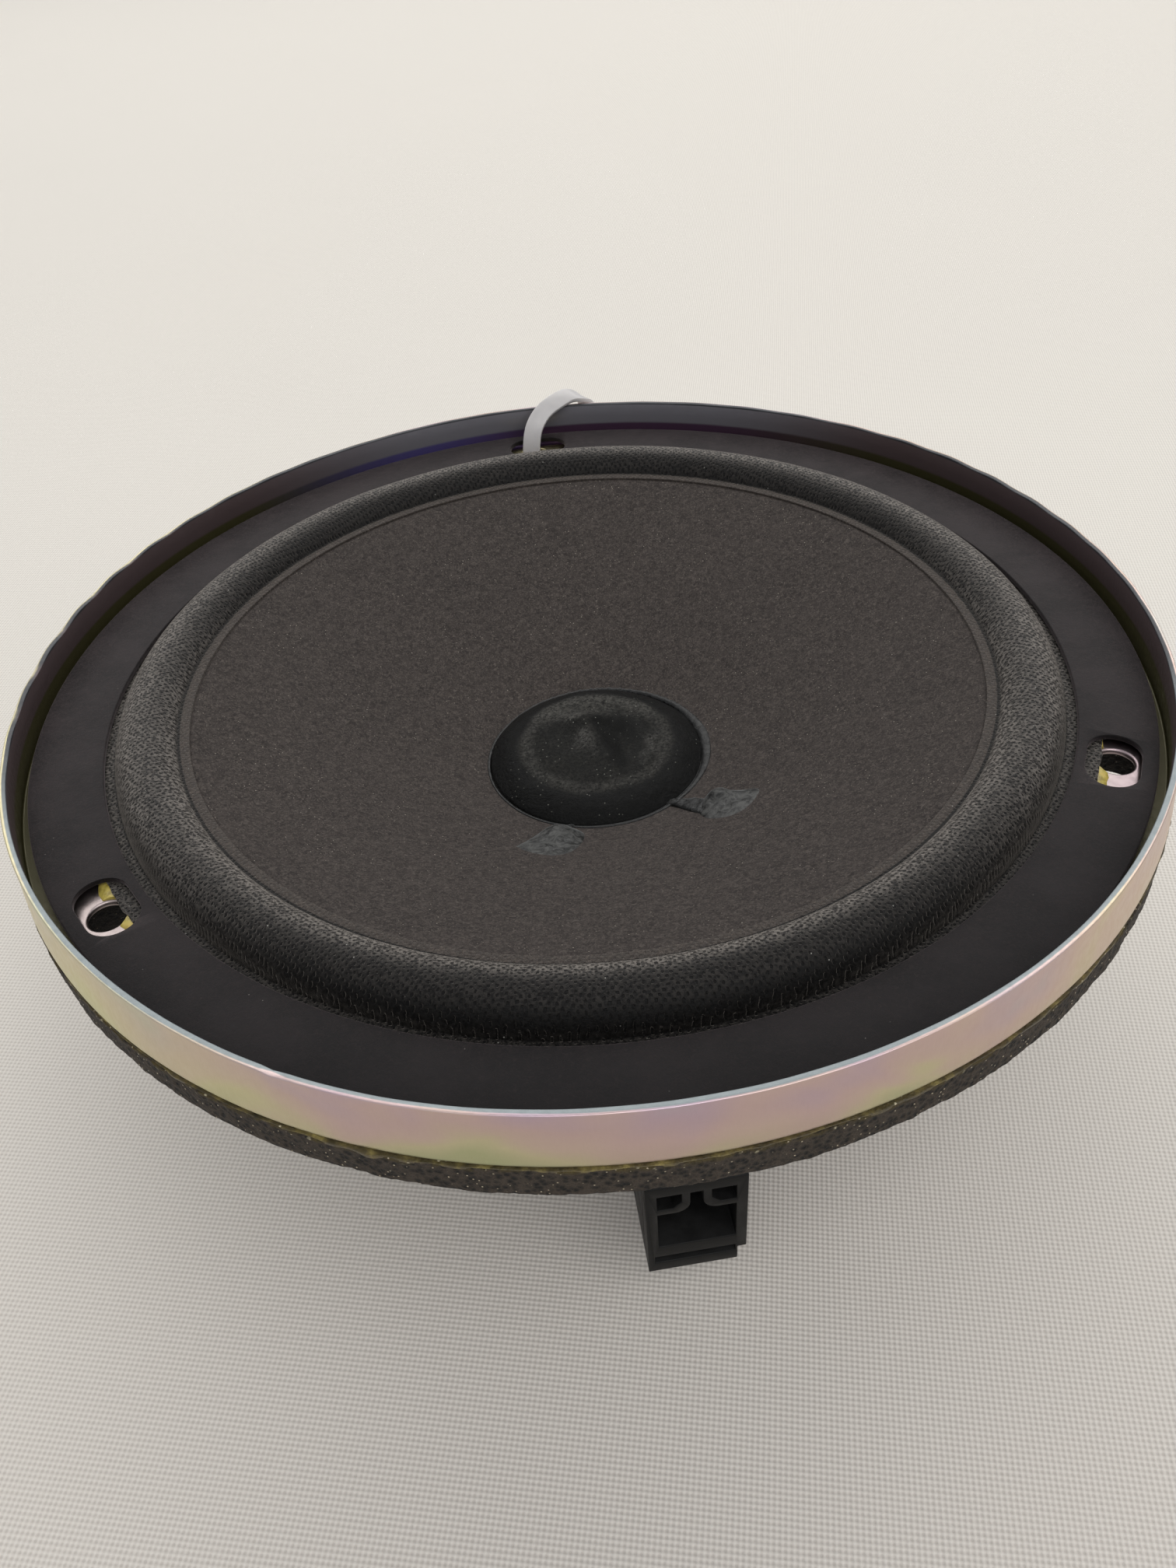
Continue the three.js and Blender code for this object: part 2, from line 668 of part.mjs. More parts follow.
// A thick copy of the cone's paper, raised by a gap, that shapes what lies on it.
function coneBed(gap) {
  const raised = gap + PAPER / (2 * Math.cos(Math.atan(CONE_SLOPE)));
  const outline = [
    at(CONE_NECK, coneHeight(CONE_NECK) - PAPER),
    at(CONE_LAND, coneHeight(CONE_LAND) - PAPER),
    at(CONE_LAND, coneHeight(CONE_LAND) + raised),
    at(CONE_NECK, coneHeight(CONE_NECK) + raised),
  ];
  return turned(outline, CONE_SEGMENTS);
}

function glueDot({ angle, radius, length, width }) {
  const steps = 4;
  const outline = Array.from({ length: steps + 1 }, (_, i) => {
    const turn = (Math.PI / 2) * (i / steps);
    return at(Math.cos(turn), Math.sin(turn));
  });
  outline[steps].x = 0;
  const dome = turnedOnAxis([at(0, -DOT_SKIRT), at(1, -DOT_SKIRT), ...outline], SMALL_SEGMENTS);
  dome.scale(width, length, DOT_HEIGHT);
  dome.rotateY(-Math.atan(CONE_SLOPE));
  dome.rotateZ(radians(angle));
  const place = polar(radius, angle, coneHeight(radius) + PAPER / 2 + DOT_SKIRT / 2);
  dome.translate(place.x, place.y, place.z);
  return cut(dome, [coneBed(CLEAR)]);
}

// The voice coil's own wire end, lying on the cone between the cap and its glue dot.
function coilLead({ angle, radius, width }) {
  const gap = 0.5;
  const start = CAP_RADIUS + 3 * gap;
  const end = radius - width - gap;
  const middle = (start + end) / 2;
  const lift = PAPER / 2 + 2 * COIL_LEAD_RADIUS;
  const route = [
    polar(start, angle - 1, coneHeight(start) + lift),
    polar(middle, angle - 0.5, coneHeight(middle) + lift + gap / 2),
    polar(end, angle, coneHeight(end) + lift),
  ];
  return tubeAlong(route, COIL_LEAD_RADIUS, 8, 4);
}

// ---------- scene graph ----------
function fixedFrame() {
  const group = new THREE.Group();
  group.add(piece("basket", basket(), zinc));
  group.add(piece("front_gasket_ring", gasketRing(), card));
  group.add(piece("foam_gasket", foamGasket(), foam));
  const tie = piece("cable_tie", cableTie(), nylon);
  const hole = screwPlace(SCREW_ANGLES[0]);
  tie.position.set(hole.x, hole.y, 0);
  tie.rotation.set(Math.PI / 2, radians(STRAP_ANGLE), 0, "XYZ");
  group.add(tie);
  for (let i = 0; i < RIVET_COUNT; i += 1) {
    const stake = rivet(SHEET + CLEAR, PLATE_SHANK);
    const place = rivetPlace(i);
    const mesh = piece(`plate_rivet_${i + 1}`, stake, plainSteel);
    mesh.position.copy(place);
    group.add(mesh);
  }
  return group;
}

function connector() {
  const group = new THREE.Group();
  group.rotation.z = radians(CONNECTOR_ANGLE);
  group.add(piece("connector_housing", connectorHousing(), blackPlastic));
  group.add(piece("terminal_left", terminal(-1), tinned));
  group.add(piece("terminal_right", terminal(1), tinned));
  const fastener = piece("connector_rivet", rivet(SHEET / 2 + CLEAR, TAB_SHANK), plainSteel);
  fastener.position.copy(tabRivetPlace);
  group.add(fastener);
  return group;
}

function motor() {
  const group = new THREE.Group();
  group.add(piece("back_plate", disc(PLATE_RADIUS, 0, BACK_THICK, CONE_SEGMENTS), plainSteel));
  group.add(piece("pole_piece", polePiece(), plainSteel));
  group.add(piece("magnet", magnet(), ferrite));
  group.add(piece("top_plate", topPlate(), plainSteel));
  return group;
}

function suspension() {
  const group = new THREE.Group();
  const surround = turned(sheetOutline(surroundPath(), CLOTH), CONE_SEGMENTS);
  const spider = turned(sheetOutline(spiderPath(), SPIDER_THICK), SPIDER_SEGMENTS);
  group.add(piece("surround", surround, cloth));
  group.add(piece("spider", spider, spiderCloth));
  const leftLead = lead([
    [4.7, -56.9, 43.2],
    [4.4, -55.6, 45],
    [2.5, -50, 46.4],
    [-1.5, -41, 45.2],
    [-5, -31, 43.6],
    [-6.4, -25, 43.7],
    [-6.5, -22.6, 44.6],
  ]);
  const rightLead = lead([
    [11, -56.3, 43.2],
    [11.2, -55, 45],
    [13, -49, 46.6],
    [16.5, -39, 45.6],
    [19, -29, 44.8],
    [19.8, -21.5, 45],
    [19.6, -18.2, 45.7],
  ]);
  group.add(piece("tinsel_lead_left", leftLead, tinsel));
  group.add(piece("tinsel_lead_right", rightLead, tinsel));
  return group;
}

function coneAssembly() {
  const group = new THREE.Group();
  group.add(piece("cone", turned(sheetOutline(conePath(), PAPER), CONE_SEGMENTS), paper));
  group.add(piece("dust_cap", dustCap(), capPaper));
  const coilLow = GAP_MIDDLE - WINDING_LENGTH / 2;
  const coilHigh = GAP_MIDDLE + WINDING_LENGTH / 2;
  const formerHigh = coneHeight(CONE_NECK) + PAPER / 2;
  const former = ringOutline(FORMER_INNER, FORMER_OUTER, coilLow - FORMER_END, formerHigh);
  const winding = ringOutline(WINDING_INNER, WINDING_OUTER, coilLow, coilHigh);
  group.add(piece("voice_coil_former", turned(former, CONE_SEGMENTS), coilFilm));
  group.add(piece("voice_coil_winding", turned(winding, CONE_SEGMENTS), copper));
  for (const [side, place] of Object.entries(DOT_PLACES)) {
    group.add(piece(`lead_dot_${side}`, glueDot(place), clearGlue));
    group.add(piece(`coil_lead_${side}`, coilLead(place), blackGlue));
  }
  return group;
}

const group = new THREE.Group();
group.add(fixedFrame(), connector(), motor(), suspension(), coneAssembly());

export default group;
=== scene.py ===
"""The looks of a car door loudspeaker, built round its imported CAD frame.

Outlines and places are in millimetres, in the row frame, and MM turns them into Blender's metres.
"""
import math

import bmesh
import bpy
import numpy as np
from mathutils import Euler, Matrix, Vector, noise


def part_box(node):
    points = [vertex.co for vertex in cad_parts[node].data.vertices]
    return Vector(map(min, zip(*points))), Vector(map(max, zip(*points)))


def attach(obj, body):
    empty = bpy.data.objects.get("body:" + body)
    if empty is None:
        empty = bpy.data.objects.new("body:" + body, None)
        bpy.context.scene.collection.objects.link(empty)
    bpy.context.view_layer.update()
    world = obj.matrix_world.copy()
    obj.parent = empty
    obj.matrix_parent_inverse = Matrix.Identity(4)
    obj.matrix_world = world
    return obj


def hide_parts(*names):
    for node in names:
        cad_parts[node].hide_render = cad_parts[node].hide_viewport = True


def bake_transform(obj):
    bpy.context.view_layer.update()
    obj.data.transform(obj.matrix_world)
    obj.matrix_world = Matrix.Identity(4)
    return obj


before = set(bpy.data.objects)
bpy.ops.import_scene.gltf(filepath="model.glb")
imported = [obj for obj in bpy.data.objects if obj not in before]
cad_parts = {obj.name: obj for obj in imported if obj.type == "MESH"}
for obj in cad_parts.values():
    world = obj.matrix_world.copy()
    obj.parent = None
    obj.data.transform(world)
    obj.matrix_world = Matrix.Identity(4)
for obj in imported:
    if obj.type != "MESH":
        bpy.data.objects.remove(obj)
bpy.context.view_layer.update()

MM = 0.001


def box_mm(node):
    low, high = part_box(node)
    return low / MM, high / MM


def heights(node):
    """Where a CAD node begins and ends along the axis."""
    low, high = box_mm(node)
    return low.z, high.z


# ---------- driving sizes, in millimetres ----------
RIM_RADIUS = box_mm("basket")[1].x
RIM_TOP = box_mm("basket")[1].z
SHEET = 0.9
FLANGE_Z = RIM_TOP - 8.35  # middle of the outer flange's sheet
FLANGE_INNER = 79.5  # where the flange steps up to the seat
SEAT_Z = FLANGE_Z + 1.25  # middle of the surround's seat
SEAT_INNER, SEAT_OUTER = 66.6, 78.6
WALL_FOOT = (63.2, 52.5)  # where the seat's wall meets the arms
ARM_FOOT = (46.5, 42)
LEDGE_Z = 38  # middle of the spider's ledge
LEDGE_INNER, LEDGE_OUTER = 37.5, 45.5
POT_FOOT = 36  # radius of the basket's flat bottom
BASKET_BORE = 19
GLUE_GAP = 0.05  # between two pieces that are glued face to face
PLATE_TOP = box_mm("top_plate")[1].z
RING_LOW, RING_HIGH = heights("front_gasket_ring")
RING_INNER, RING_OUTER = 70.35, 80.6
FOAM_LOW, FOAM_HIGH = heights("foam_gasket")
FOAM_INNER, FOAM_OUTER = 66.9, box_mm("foam_gasket")[1].x
FOOT_FLARE = 0.65  # how far the rim's wall spreads towards its foot
SCREW_ANGLES = (94.8, 215.2, 336.8)
SLOT_ANGLES = (94.2, 215.3, 335.4)
FOAM_HOLES = (6.0, 4.5, 6.0)  # radii of the clearance holes round the screws
SCREW_CIRCLE = 75.5
SCREW_HOLE = 2.5  # radius
SLOT_CIRCLE = 75.1
SLOT_WIDTH, SLOT_LENGTH, SLOT_BEND = 6.9, 10.7, 3.4
WINDOW_INNER, WINDOW_OUTER = 48.5, 61
WINDOW_HALF_ANGLE = 28
WINDOW_CORNER = 2.2
PLATE_RADIUS = 38
MAGNET_BORE, MAGNET_RADIUS = 22, 40
POLE_RADIUS = 12.15
GAP_OUTER = 13.7  # the top plate's bore round the voice coil
PLATE_RIVET_CIRCLE = 28
PLATE_RIVET_ANGLES = (45, 135, 225, 315)
RIVET_HOLE = 2.15  # radius
LUG_RIVET = (2.5, -51)  # before the turn by CONNECTOR_ANGLE
CLOTH_Z = 59.7  # middle of the surround's glued cloth
CLOTH_OUTER = 73.6
ROLL_CENTRE = Vector((64.25, 60.1))
ROLL_RADIUS = 4.35
LIP_Z = 61.65
CONE_LAND, CONE_LAND_Z = 58, 60.9
CONE_EDGE = box_mm("cone")[1].x
CONE_NECK = 13.35
CONE_SLOPE = 0.4367
PAPER = 0.8  # thickness of the cone's paper
CAP_CENTRE = Vector((1.0, -0.3))  # the cap was glued a little off centre
CAP_RADIUS = 16.9
CONNECTOR_ANGLE = 5.4
TIE_HEAD_ANGLE = -11.5
DIP_SKIRT = 1.5  # how far a dip reaches past its limits


def cone_z(radius):
    """Height of the cone paper's middle at a radius."""
    return CONE_LAND_Z - CONE_SLOPE * (CONE_LAND - radius)


# ---------- outlines ----------
def rounded(corners, closed=True, steps=4):
    """An outline of (radius, z, corner radius) with its corners turned into arcs."""
    points = []
    count = len(corners)
    for i, (x, y, bend) in enumerate(corners):
        corner = Vector((x, y))
        if bend == 0 or (not closed and i in (0, count - 1)):
            points.append(corner)
            continue
        to_before = (Vector(corners[i - 1][:2]) - corner).normalized()
        to_after = (Vector(corners[(i + 1) % count][:2]) - corner).normalized()
        half = to_before.angle(to_after) / 2
        centre = corner + (to_before + to_after).normalized() * bend / math.sin(half)
        start = corner + to_before * bend / math.tan(half) - centre
        end = corner + to_after * bend / math.tan(half) - centre
        points += [centre + start.slerp(end, step / steps) * bend for step in range(steps + 1)]
    return points


def sheet_outline(path, thickness, edge=0.15):
    """The closed outline of a sheet whose middle follows a path, its two cut edges rounded."""
    sides = ([], [])
    last = len(path) - 1
    for i, point in enumerate(path):
        along = (path[min(i + 1, last)] - path[max(i - 1, 0)]).normalized()
        side = Vector((-along.y, along.x)) * thickness / 2
        bend = edge if i in (0, last) else 0
        sides[0].append((*(point + side), bend))
        sides[1].append((*(point - side), bend))
    return rounded(sides[0] + sides[1][::-1], steps=3)


def block_outline(inner, outer, low, high, bend):
    """A rectangle from an inner to an outer radius, with rounded corners."""
    if inner == 0:
        return rounded([(0, low, 0), (outer, low, bend), (outer, high, bend), (0, high, 0)])
    corners = [(inner, low), (outer, low), (outer, high), (inner, high)]
    return rounded([(*corner, bend) for corner in corners])


def rectangle(width, height, bend, steps=4):
    """A rectangle about the origin with rounded corners."""
    x, y = width / 2, height / 2
    return rounded([(-x, -y, bend), (x, -y, bend), (x, y, bend), (-x, y, bend)], steps=steps)


def vectors(*places):
    return [Vector(place) for place in places]


def divided(points, step, closed=True):
    """An outline with points added, about as far apart as step(point, next point) says."""
    made = []
    for point, ahead in zip(points, points[1:] + points[:closed]):
        parts = max(1, round((ahead - point).length / step(point, ahead)))
        made += [point.lerp(ahead, i / parts) for i in range(parts)]
    return made if closed else made + points[-1:]


def polar(grid):
    """Radius and angle about the speaker's axis of an array of points."""
    return np.hypot(grid[..., 0], grid[..., 1]), np.arctan2(grid[..., 1], grid[..., 0])


def push_out(grid, amount):
    """Moves an array of points away from the axis by an amount in millimetres."""
    grid[..., :2] *= (1 + amount / polar(grid)[0])[..., None]


def on_circle(angle, radius):
    """Points on a circle, where noise is read so that it changes only round the axis."""
    return np.stack([radius * np.cos(angle), radius * np.sin(angle), 0 * angle], -1)


def peak_at(angle, degrees, width):
    """A bump of height 1 at one angle, whose width is in radians."""
    return np.exp(-(((angle - math.radians(degrees)) / width) ** 2))


def smooth_step(value, low, high):
    t = np.clip((value - low) / (high - low), 0, 1)
    return t * t * (3 - 2 * t)


def noise_at(points, scale, seed):
    """Smooth noise from -1 to 1 at an array of points in millimetres."""
    shift = Vector((seed * 7.3, seed * 3.1, seed * 5.7))
    flat = points.reshape(-1, 3) / scale
    values = [noise.noise(Vector(point) + shift) for point in flat.tolist()]
    return np.array(values).reshape(points.shape[:-1])


# ---------- meshes ----------
def finish_mesh(piece, smooth_angle=38):
    """Welds a piece, turns its faces outward and shades it smooth up to an angle in degrees."""
    mesh = bmesh.new()
    mesh.from_mesh(piece.data)
    bmesh.ops.remove_doubles(mesh, verts=mesh.verts, dist=2e-6)
    bmesh.ops.dissolve_degenerate(mesh, edges=mesh.edges, dist=1e-6)
    bmesh.ops.recalc_face_normals(mesh, faces=mesh.faces)
    mesh.to_mesh(piece.data)
    mesh.free()
    piece.data.polygons.foreach_set("use_smooth", [True] * len(piece.data.polygons))
    piece.data.set_sharp_from_angle(angle=math.radians(smooth_angle))
    return piece


def new_piece(name, points, faces, smooth_angle=38):
    """A piece from an array of points in millimetres and its faces."""
    mesh = bpy.data.meshes.new(name)
    mesh.from_pydata((np.asarray(points).reshape(-1, 3) * MM).tolist(), [], faces)
    piece = bpy.data.objects.new(name, mesh)
    bpy.context.scene.collection.objects.link(piece)
    return finish_mesh(piece, smooth_angle)


def grid_faces(rows, columns, close_rows, close_columns):
    """Quads over a grid of points, joined round in either direction."""
    index = np.arange(rows * columns).reshape(rows, columns)
    if close_rows:
        index = np.vstack([index, index[:1]])
    if close_columns:
        index = np.hstack([index, index[:, :1]])
    quads = [index[:-1, :-1], index[1:, :-1], index[1:, 1:], index[:-1, 1:]]
    return np.stack(quads, axis=-1).reshape(-1, 4).tolist()


def tube_faces(rows, columns):
    """Quads over a grid of points that is a tube, and a face over each of its ends."""
    faces = grid_faces(rows, columns, False, True)
    return faces + [list(range(columns)), [(rows - 1) * columns + i for i in range(columns)]]


def turned(name, outline, segments, shape=None, smooth_angle=38):
    """A closed outline turned about the speaker's axis. shape may move the grid of points."""
    profile = np.array([tuple(point) for point in outline])
    angle = np.linspace(0, 2 * np.pi, segments, endpoint=False)[:, None]
    grid = np.empty((segments, len(profile), 3))
    grid[..., 0] = np.cos(angle) * profile[:, 0]
    grid[..., 1] = np.sin(angle) * profile[:, 0]
    grid[..., 2] = profile[:, 1]
    if shape:
        grid = shape(grid)
    on_axis = abs(profile[0, 0]) < 1e-6
    faces = grid_faces(segments, len(profile), True, not on_axis)
    return new_piece(name, grid, faces, smooth_angle)


def prism(outline, *levels):
    """Points and faces of an upright prism through levels of height and outward growth."""
    centre = sum(outline, Vector((0, 0))) / len(outline)
    rings = []
    for z, grow in levels:
        for point in outline:
            away = (point - centre).normalized() * grow
            rings.append((point.x + away.x, point.y + away.y, z))
    return np.array(rings), tube_faces(len(levels), len(outline))


def pillar(outline, low, high):
    """Points and faces of a plain upright prism."""
    return prism(outline, (low, 0.0), (high, 0.0))


def rounded_levels(low, high, bottom, top, bend, steps=5):
    """Levels for a cutter that rounds the rims of the hole it makes in a sheet."""
    levels = [(low, bend)]
    for z, sign in ((bottom, 1), (top, -1)):
        arc = []
        for step in range(steps + 1):
            turn = math.pi / 2 * step / steps
            arc.append((z + sign * bend * (1 - math.cos(turn)), bend * (1 - math.sin(turn))))
        levels += arc if sign == 1 else arc[::-1]
    levels.append((high, bend))
    return levels


def turned_about(points, degrees):
    angle = math.radians(degrees)
    turn = np.array([[math.cos(angle), -math.sin(angle)], [math.sin(angle), math.cos(angle)]])
    moved = np.array(points, float)
    moved[:, :2] = moved[:, :2] @ turn.T
    return moved


def around(part, radius, angles):
    """Copies of (points, faces) at a radius from the axis, one for each angle in degrees."""
    points, faces = part
    return [(turned_about(points + [radius, 0, 0], degrees), faces) for degrees in angles]


def merged(name, parts):
    """One piece out of several (points, faces) parts."""
    points, faces, offset = [], [], 0
    for part_points, part_faces in parts:
        points.append(part_points)
        faces += [[index + offset for index in face] for face in part_faces]
        offset += len(part_points)
    return new_piece(name, np.vstack(points), faces)


def apply_modifiers(piece):
    view = bpy.context.evaluated_depsgraph_get()
    made = bpy.data.meshes.new_from_object(piece.evaluated_get(view), depsgraph=view)
    piece.modifiers.clear()
    piece.data = made
    return piece


def boolean(piece, tool, operation="DIFFERENCE", smooth_angle=38):
    """Cuts a tool from a piece, or joins it on, and removes the tool."""
    modifier = piece.modifiers.new("cut", "BOOLEAN")
    modifier.object = tool
    modifier.operation = operation
    modifier.solver = "EXACT"
    apply_modifiers(piece)
    bpy.data.objects.remove(tool)
    return finish_mesh(piece, smooth_angle)


def circle(radius, count):
    angles = [2 * math.pi * i / count for i in range(count)]
    return [Vector((radius * math.cos(a), radius * math.sin(a))) for a in angles]


def swept(name, route, sides, section):
    """A section of (sideways, outward) points swept along a route with given side directions."""
    rings = []
    for i, (point, side) in enumerate(zip(route, sides)):
        along = (route[min(i + 1, len(route) - 1)] - route[max(i - 1, 0)]).normalized()
        side = (side - along * side.dot(along)).normalized()
        outward = along.cross(side)
        rings += [point + side * u + outward * v for u, v in section]
    return new_piece(name, np.array(rings), tube_faces(len(route), len(section)))


def smooth_route(points, steps):
    """Points on a smooth curve through the given ones, in any number of dimensions."""
    given = np.array(points, float)
    padded = np.vstack([2 * given[0] - given[1], given, 2 * given[-1] - given[-2]])
    made = []
    for i in range(1, len(padded) - 2):
        p0, p1, p2, p3 = padded[i - 1:i + 3]
        for t in np.linspace(0, 1, steps, endpoint=False):
            curve = 2 * p1 + (p2 - p0) * t + (2 * p0 - 5 * p1 + 4 * p2 - p3) * t**2
            made.append((curve + (3 * p1 - p0 - 3 * p2 + p3) * t**3) / 2)
    made.append(given[-1])
    return np.array(made)


def from_cad(name, node, bevel):
    """A copy of a CAD node with flat faces made whole again and its edges softened."""
    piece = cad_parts[node].copy()
    piece.data = piece.data.copy()
    piece.name = name
    piece.parent = None
    for key in list(piece.keys()):
        del piece[key]
    bpy.context.scene.collection.objects.link(piece)
    mesh = bmesh.new()
    mesh.from_mesh(piece.data)
    bmesh.ops.remove_doubles(mesh, verts=mesh.verts, dist=3e-6)
    bmesh.ops.dissolve_limit(
        mesh, angle_limit=math.radians(1), verts=mesh.verts, edges=mesh.edges
    )
    mesh.to_mesh(piece.data)
    mesh.free()
    modifier = piece.modifiers.new("soft edges", "BEVEL")
    modifier.width = bevel * MM
    modifier.segments = 2
    modifier.limit_method = "ANGLE"
    modifier.angle_limit = math.radians(30)
    apply_modifiers(piece)
    return finish_mesh(piece, 30)


# ---------- node materials ----------
def srgb(red, green, blue):
    """A linear colour from 0 to 255 screen values."""
    def linear(value):
        value /= 255
        return value / 12.92 if value <= 0.04045 else ((value + 0.055) / 1.055) ** 2.4
    return (linear(red), linear(green), linear(blue), 1.0)


class Shader:
    """A material with a Principled surface, and short ways to add nodes to it."""

    def __init__(self, name, **sockets):
        self.material = bpy.data.materials.new(name)
        self.material.use_nodes = True
        self.tree = self.material.node_tree
        self.surface = self.tree.nodes["Principled BSDF"]
        self.place = self.node("TexCoord").outputs["Object"]
        for socket, value in sockets.items():
            self.set(socket.replace("_", " ").title().replace("Ior", "IOR"), value)

    def node(self, kind, inputs=None, **settings):
        made = self.tree.nodes.new("ShaderNode" + kind)
        for key, value in settings.items():
            setattr(made, key, value)
        for key, value in (inputs or {}).items():
            self.put(made.inputs[key], value)
        return made

    def put(self, socket, value):
        if isinstance(value, bpy.types.NodeSocket):
            self.tree.links.new(value, socket)
        else:
            socket.default_value = value

    def set(self, socket, value):
        self.put(self.surface.inputs[socket], value)

    def math(self, operation, a, b=0.0):
        return self.node("Math", {0: a, 1: b}, operation=operation).outputs[0]

    def times(self, a, b):
        return self.math("MULTIPLY", a, b)

    def mix(self, factor, a, b):
        made = self.node("Mix", {0: factor, 6: a, 7: b}, data_type="RGBA")
        return made.outputs[2]

    def range(self, value, low, high, to_low=0.0, to_high=1.0):
        """Changes smoothly from to_low at low to to_high at high, and stays level beyond them."""
        inputs = {0: value, 1: low, 2: high, 3: to_low, 4: to_high}
        return self.node("MapRange", inputs, interpolation_type="SMOOTHSTEP").outputs[0]

    def span(self, value, low, high, to_low=0.0, to_high=1.0):
        """The same as range, for a length whose limits are given in millimetres."""
        return self.range(value, low * MM, high * MM, to_low, to_high)

    def ramp(self, factor, stops):
        made = self.node("ValToRGB", {0: factor})
        elements = made.color_ramp.elements
        while len(elements) < len(stops):
            elements.new(0.5)
        for element, (position, colour) in zip(elements, stops):
            element.position = position
            element.color = colour
        return made.outputs[0]

    def noise(self, size, detail=3.0, roughness=0.5, place=None, distortion=0.0):
        """Noise whose features are about size millimetres wide."""
        inputs = {"Vector": place or self.place, "Scale": 1 / (size * MM), "Detail": detail}
        inputs.update({"Roughness": roughness, "Distortion": distortion})
        return self.node("TexNoise", inputs).outputs[0]

    def cells(self, size):
        """Distance from the middles of cells that are about size millimetres wide."""
        inputs = {"Vector": self.place, "Scale": 1 / (size * MM), "Randomness": 1.0}
        return self.node("TexVoronoi", inputs, feature="F1").outputs["Distance"]

    def specks(self, size, share):
        """Small round specks, spaced about size millimetres apart, where share is their width."""
        return self.range(self.cells(size), share * 0.4, share, 1.0, 0.0)

    def axes(self):
        made = self.node("SeparateXYZ", {0: self.place})
        return made.outputs[0], made.outputs[1], made.outputs[2]

    def polar(self):
        """Radius, angle in radians and height of a point about the speaker's axis."""
        x, y, z = self.axes()
        return self.length(x, y), self.math("ARCTAN2", y, x), z

    def length(self, x, y):
        """Length of the vector (x, y)."""
        square = self.math("ADD", self.times(x, x), self.times(y, y))
        return self.math("SQRT", square)

    def times_plus(self, a, b, c):
        """a times b, plus c."""
        return self.node("Math", {0: a, 1: b, 2: c}, operation="MULTIPLY_ADD").outputs[0]

    def weave(self, pitch):
        """Height, about 0.5, of a plain weave whose threads run along X and Y and wander."""
        x, y = self.axes()[:2]
        turn = math.pi / (pitch * MM)
        wander = self.times(self.noise(2.5, detail=2.0), 5.0)
        across = self.math("SINE", self.times_plus(x, turn, wander))
        along = self.math("SINE", self.times_plus(y, turn, wander))
        return self.times_plus(self.times(across, along), 0.9, 0.5)

    def dip(self, value, low, high):
        """A soft hump, 1 halfway between low and high in millimetres and 0 a little past both."""
        middle = (low + high) / 2
        rise = self.span(value, low - DIP_SKIRT, middle)
        fall = self.span(value, middle, high + DIP_SKIRT, 1.0, 0.0)
        return self.times(rise, fall)

    def edge_on(self, low, high):
        """Grows from 0 where the surface faces the viewer to 1 where it is seen edge on."""
        facing = self.node("LayerWeight", {"Blend": 0.5}).outputs["Facing"]
        return self.range(facing, low, high)

    def bump(self, height, distance, under=None):
        """Bump of a height from 0 to 1 that stands for a distance in millimetres."""
        inputs = {"Height": height, "Distance": distance * MM, "Strength": 1.0}
        if under is not None:
            inputs["Normal"] = under
        made = self.node("Bump", inputs).outputs[0]
        self.put(self.surface.inputs["Normal"], made)
        return made

    def sheen(self, weight, roughness, tint):
        self.set("Sheen Weight", weight)
        self.set("Sheen Roughness", roughness)
        self.set("Sheen Tint", tint)

    def made_of(self, colour, roughness=None):
        """Sets the colour and the roughness and returns the finished material."""
        self.set("Base Color", colour)
        if roughness is not None:
            self.set("Roughness", roughness)
        return self.material


